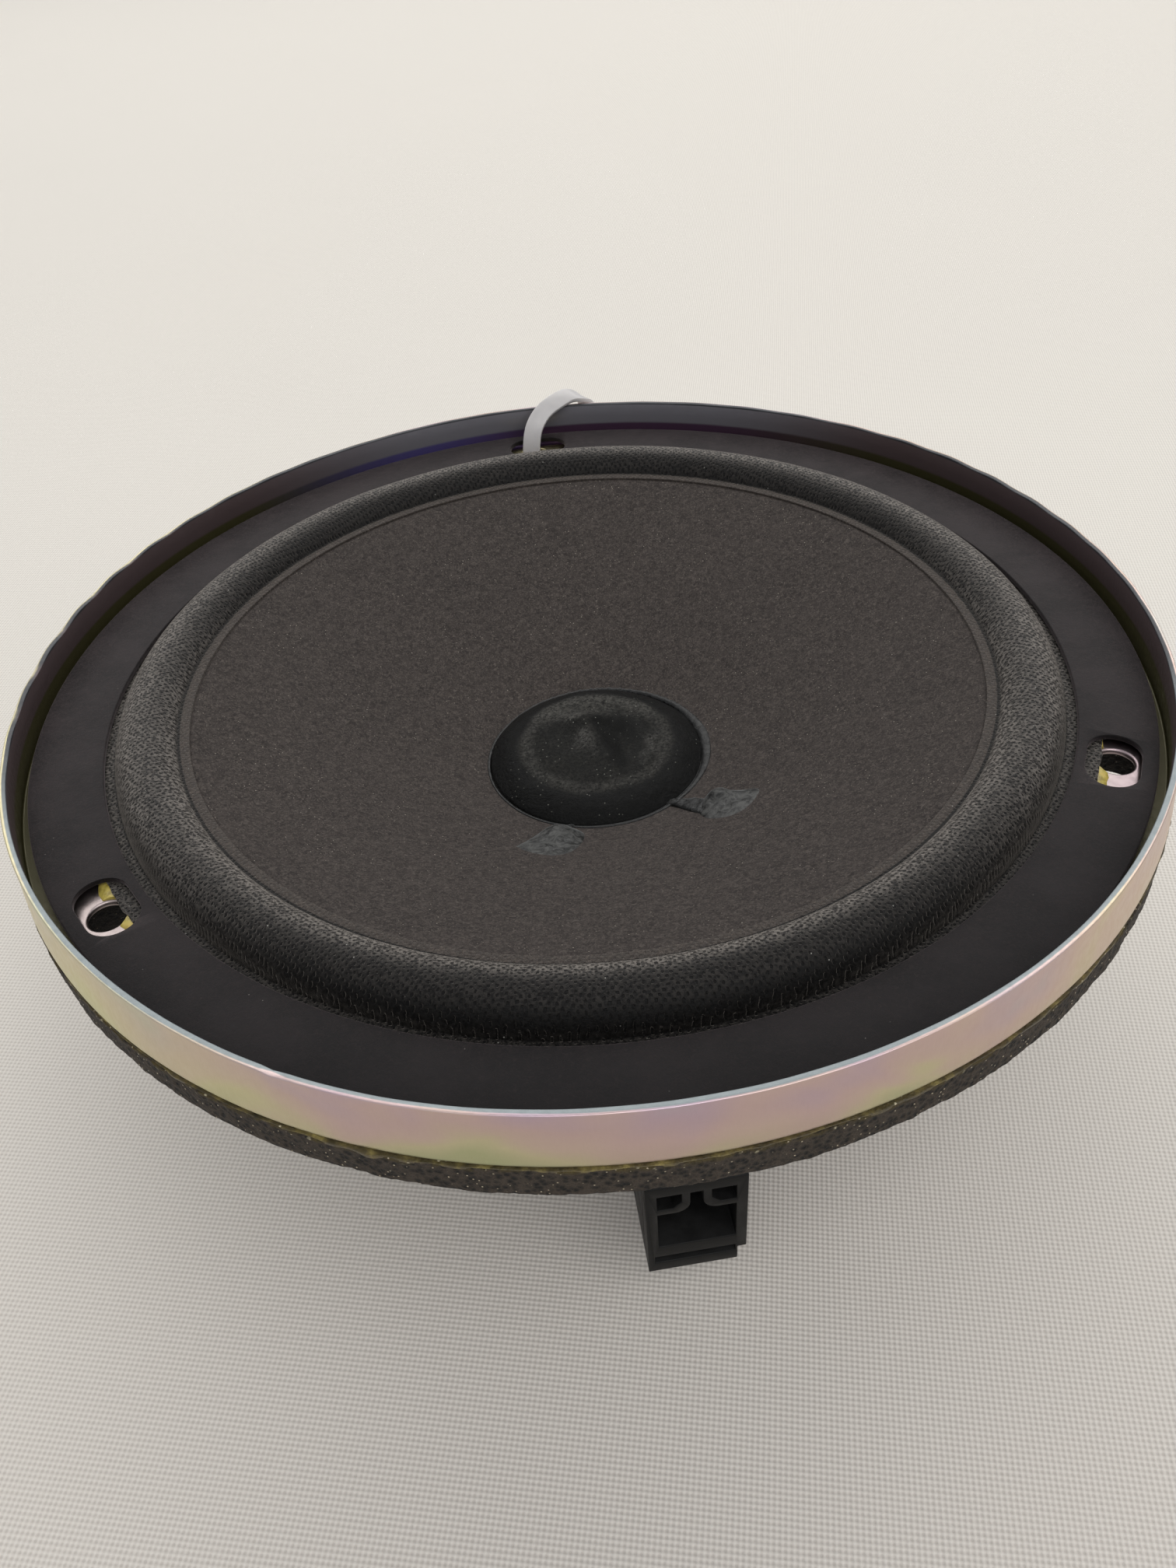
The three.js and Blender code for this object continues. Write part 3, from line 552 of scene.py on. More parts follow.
def zinc():
    """Clear zinc passivation on pressed steel: pastel interference bands over brushed metal; a
    painted reflection of the dark ring and cone darkens the rim's inside wall, and painted shade
    darkens the top edge at the back.
    """
    shader = Shader("zinc_passivated_steel", metallic=1.0)
    radius, angle, z = shader.polar()
    around = shader.node("CombineXYZ", {
        0: shader.times(angle, 0.05),
        1: shader.times(z, 0.8),
        2: shader.times(radius, 0.6),
    }).outputs[0]
    film = shader.noise(12, detail=2.0, roughness=0.45, place=around, distortion=0.5)
    height = shader.span(z, RIM_TOP - 9, RIM_TOP, -0.1, 0.1)
    thickness = shader.math("ADD", film, height)
    bands = shader.ramp(thickness, [
        (0.24, srgb(184, 186, 146)),
        (0.36, srgb(202, 194, 160)),
        (0.45, srgb(204, 184, 170)),
        (0.56, srgb(202, 178, 174)),
        (0.68, srgb(194, 172, 182)),
        (0.84, srgb(172, 180, 190)),
    ])
    x, y = shader.axes()[:2]
    straw = shader.span(x, -62, -25, 0.6, 0.0)
    bands = shader.mix(straw, bands, srgb(214, 212, 160))
    warm = shader.span(x, 20, 62, 0.0, 0.5)
    bands = shader.mix(warm, bands, srgb(218, 198, 172))
    on_seat = shader.span(radius, RIM_RADIUS - 3, RIM_RADIUS - 2, 0.7, 0.0)
    seat = shader.mix(shader.span(y, 30, 60), srgb(142, 128, 146), srgb(176, 168, 126))
    bands = shader.mix(on_seat, bands, seat)
    # The rim's inside wall: slate at the back, brown at the sides, violet and olive at its foot,
    # and less metallic. This is partly the film's own tint and partly a painted reflection of the
    # black ring and cone.
    aside = shader.span(shader.math("ABSOLUTE", x), 25, 62)
    wall = shader.mix(aside, srgb(132, 130, 136), srgb(94, 80, 80))
    violet = shader.mix(shader.span(x, -30, 0), srgb(92, 84, 140), srgb(84, 60, 82))
    foot = shader.mix(aside, violet, srgb(74, 70, 44))
    upright = shader.span(z, FLANGE_Z + 3.8, FLANGE_Z + 4.4)
    spread = shader.span(z, RIM_TOP - 8, RIM_TOP - 1, FOOT_FLARE * MM, 0.0)
    upper_radius = shader.math("SUBTRACT", radius, spread)
    inside = shader.span(upper_radius, RIM_RADIUS - 0.7, RIM_RADIUS - 0.35, 1.0, 0.0)
    on_wall = shader.span(radius, RIM_RADIUS - 4, RIM_RADIUS - 3)
    inside = shader.times(inside, on_wall)
    bands = shader.mix(inside, bands, shader.mix(upright, foot, wall))
    # The top cut edge: bare steel at the front. At the back it is painted shade, dark and less
    # metallic.
    edge = shader.span(z, RIM_TOP - 0.5, RIM_TOP - 0.25)
    inner_part = shader.span(radius, RIM_RADIUS - 0.4, RIM_RADIUS - 0.2, 1.0, 0.0)
    edge = shader.times(edge, inner_part)
    rear = shader.span(y, -38, -12)
    edge_steel_and_shade = shader.mix(rear, srgb(128, 135, 137), srgb(56, 57, 60))
    colour = shader.mix(edge, bands, edge_steel_and_shade)
    dull = shader.math("MAXIMUM", inside, shader.times(edge, rear))
    shader.set("Metallic", shader.range(dull, 0.0, 1.0, 1.0, 0.5))
    shader.set("Base Color", colour)
    streaks = shader.node("CombineXYZ", {
        0: shader.times(angle, 0.08),
        1: shader.times(z, 0.1),
        2: radius,
    }).outputs[0]
    scratch = shader.noise(0.22, detail=4.0, roughness=0.7, place=streaks)
    mottle = shader.noise(1.1, detail=4.0)
    shader.set("Roughness", shader.range(shader.math("ADD", scratch, mottle), 0.7, 1.3, 0.3, 0.44))
    shader.bump(scratch, 0.006, under=shader.bump(shader.noise(0.5, detail=4.0), 0.012))
    return shader.material


def card():
    """Black fibre card, mottled, with fine grain, a little dust and a painted sheen that darkens it
    where it faces the viewer.
    """
    shader = Shader("black_fibre_card", specular_ior_level=0.14)
    shader.sheen(0.2, 0.4, srgb(255, 240, 242))
    tone = shader.noise(9, detail=6.0, roughness=0.65)
    base = shader.mix(shader.range(tone, 0.35, 0.65), srgb(18, 15, 16), srgb(36, 31, 32))
    fibres = shader.noise(0.4, detail=5.0, roughness=0.75, distortion=1.0)
    base = shader.mix(shader.range(fibres, 0.42, 0.7, 0.0, 0.7), base, srgb(62, 55, 54))
    # Painted sheen: darker where the card faces the viewer, lighter where it is seen edge on.
    base = shader.mix(shader.edge_on(0.15, 0.6), shader.mix(0.65, base, srgb(9, 8, 9)), base)
    some = shader.range(shader.noise(7, detail=2.0), 0.45, 0.6)
    dust = shader.times(shader.specks(1.7, 0.05), some)
    shader.bump(fibres, 0.05, under=shader.bump(shader.noise(2.5, detail=3.0), 0.08))
    roughness = shader.range(fibres, 0.3, 0.7, 0.5, 0.7)
    return shader.made_of(shader.mix(dust, base, srgb(120, 116, 112)), roughness)


def foam():
    """Open cell foam: dark walls round pores darkened by painted shade, with shiny flecks, and
    painted shade on its inner part under the flange.
    """
    shader = Shader("open_cell_foam", specular_ior_level=0.4)
    pores = shader.cells(0.75)
    fine = shader.cells(0.3)
    # Painted shade in the pores: the middles of the cells, large and small, are darker.
    shade = shader.mix(shader.range(pores, 0.1, 0.75), srgb(10, 9, 8), srgb(62, 54, 46))
    shade = shader.mix(shader.range(fine, 0.05, 0.5, 0.55, 0.0), shade, srgb(20, 17, 14))
    z = shader.axes()[2]
    film = shader.span(z, FOAM_HIGH - 0.9, FOAM_HIGH)
    film = shader.times(film, shader.range(shader.noise(1.6), 0.35, 0.6))
    shade = shader.mix(film, shade, srgb(70, 60, 32))
    # Painted shade: the foam's inner part, under the basket's flange, is turned nearly black.
    painted_shade_inside = shader.span(shader.polar()[0], FOAM_OUTER - 4, FOAM_OUTER - 1.5, 0.75, 0.0)
    flecks = shader.specks(0.8, 0.17)
    shade = shader.mix(flecks, shade, srgb(176, 164, 140))
    crumbs = shader.times(shader.specks(1.5, 0.24), film)
    shade = shader.mix(crumbs, shade, srgb(196, 188, 160))
    shader.bump(fine, 0.15, under=shader.bump(pores, 0.35))
    roughness = shader.range(flecks, 0.0, 1.0, 0.85, 0.3)
    return shader.made_of(shader.mix(painted_shade_inside, shade, srgb(4, 4, 4)), roughness)


def adhesive():
    """Amber cement that has run out of a joint."""
    shader = Shader("amber_cement", specular_ior_level=0.5)
    tone = shader.noise(1.4, detail=4.0)
    colour = shader.ramp(tone, [
        (0.3, srgb(122, 104, 42)),
        (0.5, srgb(176, 160, 78)),
        (0.7, srgb(196, 170, 92)),
    ])
    shader.bump(shader.noise(0.5, detail=3.0), 0.08)
    return shader.made_of(colour, shader.range(tone, 0.3, 0.7, 0.25, 0.5))


def foam_film():
    """Brown adhesive film along the foam's top edge, with pale crumbs."""
    shader = Shader("foam_adhesive_film", specular_ior_level=0.5)
    tone = shader.noise(2.2, detail=5.0, roughness=0.65)
    colour = shader.ramp(tone, [
        (0.3, srgb(34, 30, 20)),
        (0.5, srgb(78, 68, 42)),
        (0.62, srgb(112, 100, 58)),
        (0.8, srgb(170, 156, 92)),
    ])
    crumbs = shader.specks(1.7, 0.13)
    shader.bump(shader.noise(0.4, detail=3.0), 0.12)
    roughness = shader.range(tone, 0.3, 0.7, 0.35, 0.6)
    return shader.made_of(shader.mix(crumbs, colour, srgb(196, 186, 160)), roughness)


def cloth():
    """Black woven cloth under a damping coat, with painted shade in the pits between its threads,
    in the valley at the roll's foot and on the roll's front flank, and a painted sheen seen edge
    on.
    """
    shader = Shader("coated_surround_cloth", specular_ior_level=0.14)
    shader.sheen(0.2, 0.35, srgb(255, 244, 232))
    radius = shader.polar()[0]
    threads = shader.weave(0.5)
    patches = shader.noise(0.9, detail=4.0, roughness=0.7)
    pits = shader.range(shader.times(threads, patches), 0.36, 0.56)
    mottle = shader.noise(0.5, detail=4.0, roughness=0.75)
    cloud = shader.noise(8, detail=3.0)
    pale = shader.mix(cloud, srgb(100, 95, 90), srgb(130, 124, 118))
    base = shader.mix(shader.range(mottle, 0.4, 0.6), srgb(30, 28, 27), pale)
    # Painted shade in the pits between the threads.
    base = shader.mix(pits, base, srgb(3, 3, 3))
    # Painted sheen: darker where the cloth faces the viewer, lighter where it is seen edge on.
    base = shader.mix(shader.edge_on(0.16, 0.62), shader.mix(0.88, base, srgb(8, 7, 7)), base)
    # Painted shade in the valley at the outer foot of the roll.
    valley_shade = shader.span(radius, 67.7, 68.7)
    valley_shade = shader.times(valley_shade, shader.span(radius, 68.9, 69.3, 0.85, 0.0))
    y = shader.axes()[1]
    # Painted shade on the roll's outer flank at the front.
    front_flank_shade = shader.span(radius, 66.4, 68.4)
    front_flank_shade = shader.times(front_flank_shade, shader.span(y, -36, 0, 0.8, 0.0))
    front_flank_shade = shader.times(front_flank_shade, shader.span(radius, 68.9, 69.3, 1.0, 0.0))
    base = shader.mix(shader.math("MAXIMUM", valley_shade, front_flank_shade), base, srgb(3, 3, 3))
    fibres = shader.noise(0.5, detail=6.0, roughness=0.75, distortion=1.4)
    lip = shader.mix(shader.range(fibres, 0.42, 0.72), srgb(52, 47, 44), srgb(88, 80, 74))
    base = shader.mix(shader.span(radius, 59.5, 59.6, 1.0, 0.0), base, lip)
    # Painted shade in the groove between the lip and the roll.
    groove = shader.span(radius, 59.5, 59.65)
    groove = shader.times(groove, shader.span(radius, 59.8, 60.3, 0.9, 0.0))
    base = shader.mix(groove, base, srgb(6, 5, 5))
    dust = shader.specks(2.2, 0.05)
    relief = shader.math("SUBTRACT", mottle, shader.times(pits, 0.8))
    shader.bump(relief, 0.12, under=shader.bump(shader.noise(5, detail=3.0), 0.06))
    roughness = shader.range(mottle, 0.3, 0.7, 0.42, 0.66)
    return shader.made_of(shader.mix(dust, base, srgb(150, 148, 142)), roughness)


def spider_cloth():
    """Resin-dipped cotton: tan weave with darker resin between the threads."""
    shader = Shader("resin_dipped_cotton", roughness=0.6, specular_ior_level=0.4)
    threads = shader.weave(0.7)
    tone = shader.noise(6, detail=4.0)
    base = shader.mix(tone, srgb(150, 108, 48), srgb(190, 150, 84))
    shader.bump(threads, 0.08)
    return shader.made_of(shader.mix(shader.range(threads, 0.2, 1.4), srgb(96, 62, 24), base))


def pulp():
    """Pressed black paper pulp, brownish, with fibres, fine pits and dust."""
    shader = Shader("cone_paper_pulp", specular_ior_level=0.2)
    cloud = shader.noise(16, detail=5.0, roughness=0.6)
    base = shader.mix(cloud, srgb(36, 32, 31), srgb(49, 44, 42))
    clumps = shader.noise(1.5, detail=5.0, roughness=0.8)
    base = shader.mix(shader.range(clumps, 0.4, 0.62, 0.0, 0.5), base, srgb(64, 58, 55))
    fibres = shader.noise(0.5, detail=6.0, roughness=0.75, distortion=1.4)
    base = shader.mix(shader.range(fibres, 0.42, 0.68, 0.0, 0.8), base, srgb(90, 83, 78))
    # Painted shade in the pits.
    pits = shader.cells(0.9)
    base = shader.mix(shader.range(pits, 0.05, 0.3, 0.45, 0.0), base, srgb(34, 30, 28))
    clusters = shader.range(shader.noise(9, detail=3.0), 0.42, 0.62, 0.25, 1.0)
    dust = shader.times(shader.specks(0.9, 0.13), clusters)
    grain = shader.bump(fibres, 0.07, under=shader.bump(pits, 0.03))
    shader.bump(shader.noise(7, detail=3.0), 0.1, under=grain)
    return shader.made_of(shader.mix(dust, base, srgb(148, 140, 130)), 0.88)


def cap_paper():
    """Black coated paper with a worn, dusty bloom on its flat top, lighter towards the back of the
    top, and lacquer on its skirt; painted shade in the dent's hollow, and a painted highlight and
    painted shade on the top's slopes.
    """
    shader = Shader("dust_cap_paper", specular_ior_level=0.12)
    x, y = shader.axes()[:2]
    dx = shader.math("SUBTRACT", x, CAP_CENTRE.x * MM)
    dy = shader.math("SUBTRACT", y, CAP_CENTRE.y * MM)
    wander = shader.times(shader.noise(7, detail=3.0), 2.4 * MM)
    reach = shader.math("ADD", shader.length(dx, dy), wander)
    top = shader.span(reach, 13.0, 14.4, 1.0, 0.0)
    smudge = shader.noise(5, detail=6.0, roughness=0.7, distortion=0.8)
    bloom = shader.times(top, shader.range(smudge, 0.3, 0.72, 0.35, 1.0))
    grain = shader.range(shader.noise(0.5, detail=5.0, roughness=0.8), 0.34, 0.68)
    dark = shader.mix(grain, srgb(3, 3, 3), srgb(14, 14, 13))
    pale = shader.mix(grain, srgb(14, 14, 13), srgb(46, 45, 42))
    # Painted shade in the dent to the right of the top's middle.
    clear = shader.times(shader.dip(dx, 2.0, 5.5), shader.dip(dy, 1.0, 6.5))
    behind = shader.times(top, shader.span(dy, 4.5, 8.5, 0.0, 0.45))
    base = shader.mix(bloom, dark, pale)
    base = shader.mix(shader.times(behind, grain), base, srgb(94, 92, 87))
    base = shader.mix(shader.times(clear, 0.55), base, srgb(12, 12, 11))
    # Painted highlight on the top's slopes that face back and to the left, and painted shade on the
    # slopes that face the other way.
    normal = shader.node("NewGeometry").outputs["Normal"]
    tilt = shader.node("SeparateXYZ", {0: normal}).outputs
    slope = shader.math("SUBTRACT", shader.times(tilt[1], 0.6), tilt[0])
    lit = shader.times(top, shader.range(slope, 0.05, 0.45, 0.0, 0.7))
    base = shader.mix(shader.times(lit, grain), base, srgb(102, 100, 96))
    shade = shader.times(top, shader.range(slope, -0.35, -0.04, 0.9, 0.0))
    base = shader.mix(shade, base, srgb(10, 10, 9))
    worn = shader.span(reach, 10.6, 12.2, 0.0, 0.42)
    worn = shader.times(worn, shader.span(reach, 12.6, 14.0, 1.0, 0.0))
    base = shader.mix(shader.times(worn, grain), base, srgb(88, 86, 82))
    some = shader.range(shader.noise(6, detail=2.0), 0.4, 0.65)
    dust = shader.times(shader.specks(0.9, 0.13), some)
    shader.bump(grain, 0.05, under=shader.bump(smudge, 0.45))
    roughness = shader.range(bloom, 0.0, 1.0, 0.42, 0.75)
    return shader.made_of(shader.mix(dust, base, srgb(136, 136, 128)), roughness)


def glue(name, dark, pale, roughness):
    """Dried glue: cloudy, streaked and shiny."""
    shader = Shader(name, specular_ior_level=0.35)
    streaks = shader.noise(1.8, detail=5.0, roughness=0.65, distortion=2.2)
    colour = shader.mix(shader.range(streaks, 0.4, 0.62), dark, pale)
    rim_light = shader.mix(0.35, pale, srgb(150, 152, 152))
    shader.bump(streaks, 0.16, under=shader.bump(shader.noise(0.35, detail=3.0), 0.03))
    roughness = shader.range(streaks, 0.3, 0.7, roughness, roughness + 0.2)
    return shader.made_of(shader.mix(shader.edge_on(0.6, 1.0), colour, rim_light), roughness)


def moulded(name, colour, roughness=0.42):
    """Moulded plastic with a fine spark-eroded grain and rubbed patches."""
    shader = Shader(name, specular_ior_level=0.22)
    rubbed = shader.noise(4, detail=5.0, roughness=0.6)
    light = tuple(min(1.0, value * 1.9 + 0.004) for value in colour[:3]) + (1.0,)
    shader.bump(shader.noise(0.12, detail=3.0), 0.01)
    roughness = shader.range(rubbed, 0.3, 0.7, roughness, roughness + 0.16)
    return shader.made_of(shader.mix(shader.range(rubbed, 0.4, 0.75), colour, light), roughness)


def nylon():
    """Natural nylon: milky, lets light through, with soft flow lines."""
    shader = Shader("natural_nylon", roughness=0.34, specular_ior_level=0.5)
    cloud = shader.noise(3, detail=3.0)
    shader.set("Subsurface Weight", 0.45)
    shader.set("Subsurface Radius", (0.0015, 0.0014, 0.0012))
    shader.set("Subsurface Scale", 1.0)
    shader.bump(shader.noise(0.8, detail=2.0), 0.02)
    return shader.made_of(shader.mix(cloud, srgb(172, 169, 170), srgb(196, 193, 191)))


def plated(name, colour, lines):
    """Plated or machined steel: lines is the width in millimetres of its turning marks."""
    shader = Shader(name, metallic=1.0)
    radius, angle, z = shader.polar()
    around = shader.node("CombineXYZ", {
        0: radius, 1: z, 2: shader.times(angle, 0.002),
    }).outputs[0]
    marks = shader.noise(lines, detail=3.0, place=around)
    stain = shader.noise(8, detail=5.0, roughness=0.6)
    worn = tuple(value * 0.62 for value in colour[:3]) + (1.0,)
    shader.bump(marks, 0.02)
    roughness = shader.range(shader.math("ADD", stain, marks), 0.7, 1.3, 0.28, 0.5)
    return shader.made_of(shader.mix(shader.range(stain, 0.4, 0.75), colour, worn), roughness)


def ferrite():
    """Ground ferrite: charcoal in two tones, with fine grinding marks and pits."""
    shader = Shader("ground_ferrite", specular_ior_level=0.45)
    tone = shader.noise(5, detail=6.0, roughness=0.65)
    pits = shader.cells(1.4)
    base = shader.mix(tone, srgb(44, 43, 44), srgb(78, 76, 75))
    # Painted shade in the pits.
    base = shader.mix(shader.range(pits, 0.04, 0.16, 1.0, 0.0), base, srgb(22, 21, 21))
    shader.bump(pits, 0.05, under=shader.bump(shader.noise(0.25, detail=3.0), 0.02))
    return shader.made_of(base, shader.range(tone, 0.3, 0.7, 0.55, 0.8))


def backdrop():
    """Pale cloth: a fine slanting weave, faint soft tone, and a painted shadow that darkens it
    towards the front.
    """
    shader = Shader("pale_cloth", roughness=0.95, specular_ior_level=0.15)
    x, y = shader.axes()[:2]
    turn = math.pi / (0.62 * MM)
    slope = turn * 0.7  # the threads run aslant, at about 35 degrees to the axes
    slant = shader.math("ADD", shader.times(x, turn), shader.times(y, slope))
    other = shader.math("SUBTRACT", shader.times(x, slope), shader.times(y, turn))
    weave = shader.times(shader.math("SINE", slant), shader.math("SINE", other))
    tone = shader.noise(120, detail=3.0)
    # Painted shadow: the cloth is darker towards the front.
    far = shader.range(y, -0.2, 0.12)
    shadowed_near_colour = shader.mix(tone, srgb(205, 198, 191), srgb(214, 208, 200))
    base = shader.mix(far, shadowed_near_colour, srgb(218, 213, 205))
    threads = shader.times(weave, shader.noise(0.5, detail=2.0))
    base = shader.mix(shader.range(threads, 0.0, 0.4, 0.0, 0.3), base, srgb(240, 236, 228))
    pale = shader.mix(shader.range(threads, -0.45, 0.0, 0.27, 0.0), base, srgb(132, 124, 117))
    shader.bump(weave, 0.06)
    return shader.made_of(pale)


LOOKS = {
    "zinc_steel": zinc(),
    "black_card": card(),
    "black_foam": foam(),
    "foam_film": foam_film(),
    "amber_cement": adhesive(),
    "coated_cloth": cloth(),
    "resin_cloth": spider_cloth(),
    "cone_paper": pulp(),
    "cap_paper": cap_paper(),
    "clear_glue": glue("clear_glue", srgb(15, 15, 14), srgb(64, 64, 62), 0.3),
    "black_glue": glue("black_glue", srgb(5, 5, 5), srgb(22, 22, 22), 0.25),
    "black_plastic": moulded("black_plastic", srgb(6, 6, 6)),
    "natural_nylon": nylon(),
    "plain_steel": plated("plain_steel", (0.55, 0.55, 0.54, 1.0), 0.35),
    "tinned_brass": plated("tinned_brass", (0.66, 0.62, 0.5, 1.0), 0.2),
    "enamelled_copper": plated("enamelled_copper", (0.62, 0.24, 0.1, 1.0), 0.15),
    "tinsel_wire": plated("tinsel_wire", (0.5, 0.4, 0.26, 1.0), 0.1),
    "coil_film": moulded("coil_former_film", srgb(140, 92, 36), 0.3),
    "ferrite": ferrite(),
}


def dress(piece, look, body, *nodes):
    """Gives a piece its material, slot and body, and hides the CAD nodes it stands for."""
    piece.data.materials.clear()
    piece.data.materials.append(LOOKS[look])
    if body:
        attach(piece, body)
    if nodes:
        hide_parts(*nodes)


# ---------- basket ----------
def rim_waves(grid):
    """The rim's cut edge runs in shallow scallops, with one small dent at the front left."""
    radius, angle = polar(grid)
    wall = smooth_step(grid[..., 2], RIM_TOP - 7.5, RIM_TOP) * (radius > 80)
    left = np.exp((np.cos(angle - math.radians(168)) - 1) / 0.1)
    right = np.exp((np.cos(angle - math.radians(30)) - 1) / 0.1)
    height = (0.02 + 0.16 * left + 0.08 * right) * np.sin(52 * angle + 1.6 * np.sin(3 * angle))
    height += 0.05 * np.sin(11 * angle + 1.0) - 0.1 * left
    dent = peak_at(angle, 244.6 - 360, 0.009)
    grid[..., 2] += wall * (height + 0.35 * dent - 0.12)
    flare = FOOT_FLARE * smooth_step(RIM_TOP - grid[..., 2], 1.0, 8.0) * (radius > 80.8)
    push = 1 + (wall * (0.1 * np.sin(7 * angle + 2) + 0.35 * dent) + flare) / RIM_RADIUS
    grid[..., :2] *= push[..., None]
    return grid


def window_outline():
    """One of the basket's four openings: two arcs, joined by corners that are rounded."""
    made = []
    half = math.radians(WINDOW_HALF_ANGLE)
    for radius, way in ((WINDOW_INNER, -1), (WINDOW_OUTER, 1)):
        turns = np.linspace(-half, half, 25) * way
        made += [Vector((radius * math.cos(t), radius * math.sin(t))) for t in turns]
    outline = []
    for i, corner in enumerate(made):
        if i % 25 not in (0, 24):
            outline.append(corner)
            continue
        before = corner + (made[i - 1] - corner).normalized() * WINDOW_CORNER
        after = corner + (made[(i + 1) % len(made)] - corner).normalized() * WINDOW_CORNER
        for t in (0, 0.25, 0.5, 0.75, 1):
            outline.append(before * (1 - t) ** 2 + corner * 2 * t * (1 - t) + after * t**2)
    return outline


def basket():
    wall = RIM_RADIUS - SHEET / 2
    pot_z = PLATE_TOP + GLUE_GAP + SHEET / 2
    path = rounded([
        (wall, RIM_TOP, 0),
        (wall, RIM_TOP - 2.5, 0),
        (wall, RIM_TOP - 5, 0),
        (wall, FLANGE_Z, 0.75),
        (FLANGE_INNER, FLANGE_Z, 0.6),
        (SEAT_OUTER, SEAT_Z, 0.6),
        (SEAT_INNER, SEAT_Z, 1.65),
        (*WALL_FOOT, 4),
        (*ARM_FOOT, 2),
        (LEDGE_OUTER, LEDGE_Z, 1.1),
        (LEDGE_INNER, LEDGE_Z, 1.5),
        (POT_FOOT, pot_z, 2),
        (BASKET_BORE, pot_z, 0),
    ], closed=False, steps=6)
    shell = turned("basket_shell", sheet_outline(path, SHEET), 300, rim_waves)
    left, right, tip, root = -3.5, 8.5, -53.5, -40.5
    tab = rounded([(left, tip, 2.4), (right, tip, 2.4), (right, root, 0), (left, root, 0)])
    points, faces = pillar(tab, LEDGE_Z - SHEET / 2, LEDGE_Z + SHEET / 2)
    boolean(shell, new_piece("lug", turned_about(points, CONNECTOR_ANGLE), faces), "UNION")
    window = pillar(window_outline(), LEDGE_Z + SHEET, RIM_TOP)
    boolean(shell, merged("windows", around(window, 0, (0, 90, 180, 270))))
    levels = rounded_levels(SEAT_Z - 4, SEAT_Z + 4, SEAT_Z - 0.45, SEAT_Z + 0.45, 0.35)
    holes = around(prism(circle(SCREW_HOLE, 64), *levels), SCREW_CIRCLE, SCREW_ANGLES)
    rivet_hole = circle(RIVET_HOLE, 32)
    plate_hole = pillar(rivet_hole, pot_z - 3, pot_z + 3)
    holes += around(plate_hole, PLATE_RIVET_CIRCLE, PLATE_RIVET_ANGLES)
    points, faces = pillar(rivet_hole, LEDGE_Z - 3, LEDGE_Z + 3)
    holes.append((turned_about(points + [*LUG_RIVET, 0], CONNECTOR_ANGLE), faces))
    boolean(shell, merged("holes", holes))
    dress(shell, "zinc_steel", "frame", "basket")


def front_ring():
    def lift(grid):
        angle = polar(grid)[1]
        grid[..., 2] += 0.05 * np.sin(3 * angle + 0.7) + 0.03 * np.sin(8 * angle)
        return grid

    low, high, edge = RING_LOW + 0.1, RING_HIGH - 0.1, 0.22
    outline = block_outline(RING_INNER, RING_OUTER, low, high, edge)
    ring = turned("front_ring", outline, 256, lift)
    levels = rounded_levels(RING_LOW - 3, RING_HIGH + 3, low, high, edge)
    slot = prism(rectangle(SLOT_WIDTH, SLOT_LENGTH, SLOT_BEND, steps=10), *levels)
    boolean(ring, merged("slots", around(slot, SLOT_CIRCLE, SLOT_ANGLES)))
    dress(ring, "black_card", "frame", "front_gasket_ring")


def foam_ring():
    def rough(grid):
        radius = polar(grid)[0]
        out = np.where(radius > 75, 1, -1)
        push_out(grid, out * (0.14 * noise_at(grid, 0.9, 3) + 0.16 * noise_at(grid, 3.5, 5) - 0.1))
        grid[..., 2] += 0.1 * noise_at(grid, 1.1, 8) * (grid[..., 2] < FOAM_HIGH - 0.5)
        return grid

    corners = rounded([
        (FOAM_INNER, FOAM_LOW + 0.03, 0.5),
        (FOAM_OUTER, FOAM_LOW + 0.03, 0.25),
        (FOAM_OUTER, FOAM_HIGH, 0.12),
        (FOAM_INNER, FOAM_HIGH, 0.3),
    ], steps=3)
    outline = divided(corners, lambda a, b: 0.55 if a.x > 80 and b.x > 80 else 2.5)
    ring = turned("foam_ring", outline, 900, rough, smooth_angle=80)
    holes = []
    for degrees, wide in zip(SCREW_ANGLES, FOAM_HOLES):
        hole = pillar(circle(wide, 56), FOAM_LOW - 1, FOAM_HIGH + 1)
        holes += around(hole, SCREW_CIRCLE, [degrees])
    boolean(ring, merged("foam_holes", holes), smooth_angle=80)
    dress(ring, "black_foam", "frame", "foam_gasket")


def foam_adhesive():
    """The film that glues the foam on, squeezed out unevenly along its top edge."""
    def uneven(grid):
        radius, angle = polar(grid)
        ring = on_circle(angle, 80)
        run = 0.2 * noise_at(ring, 2.2, 11) + 0.16 * noise_at(ring, 9, 12)
        run = run + 0.35 * peak_at(angle, 251.5 - 360, 0.02)
        push_out(grid, (radius > 82) * run)
        grid[..., 2] -= (grid[..., 2] < FOAM_HIGH - 0.1) * (0.1 + 0.8 * run.clip(0, 1))
        return grid

    outline = block_outline(81.6, 83.15, FOAM_HIGH - 0.15, FOAM_HIGH + 0.06, 0.08)
    dress(turned("foam_adhesive_film", outline, 720, uneven), "foam_film", "frame")


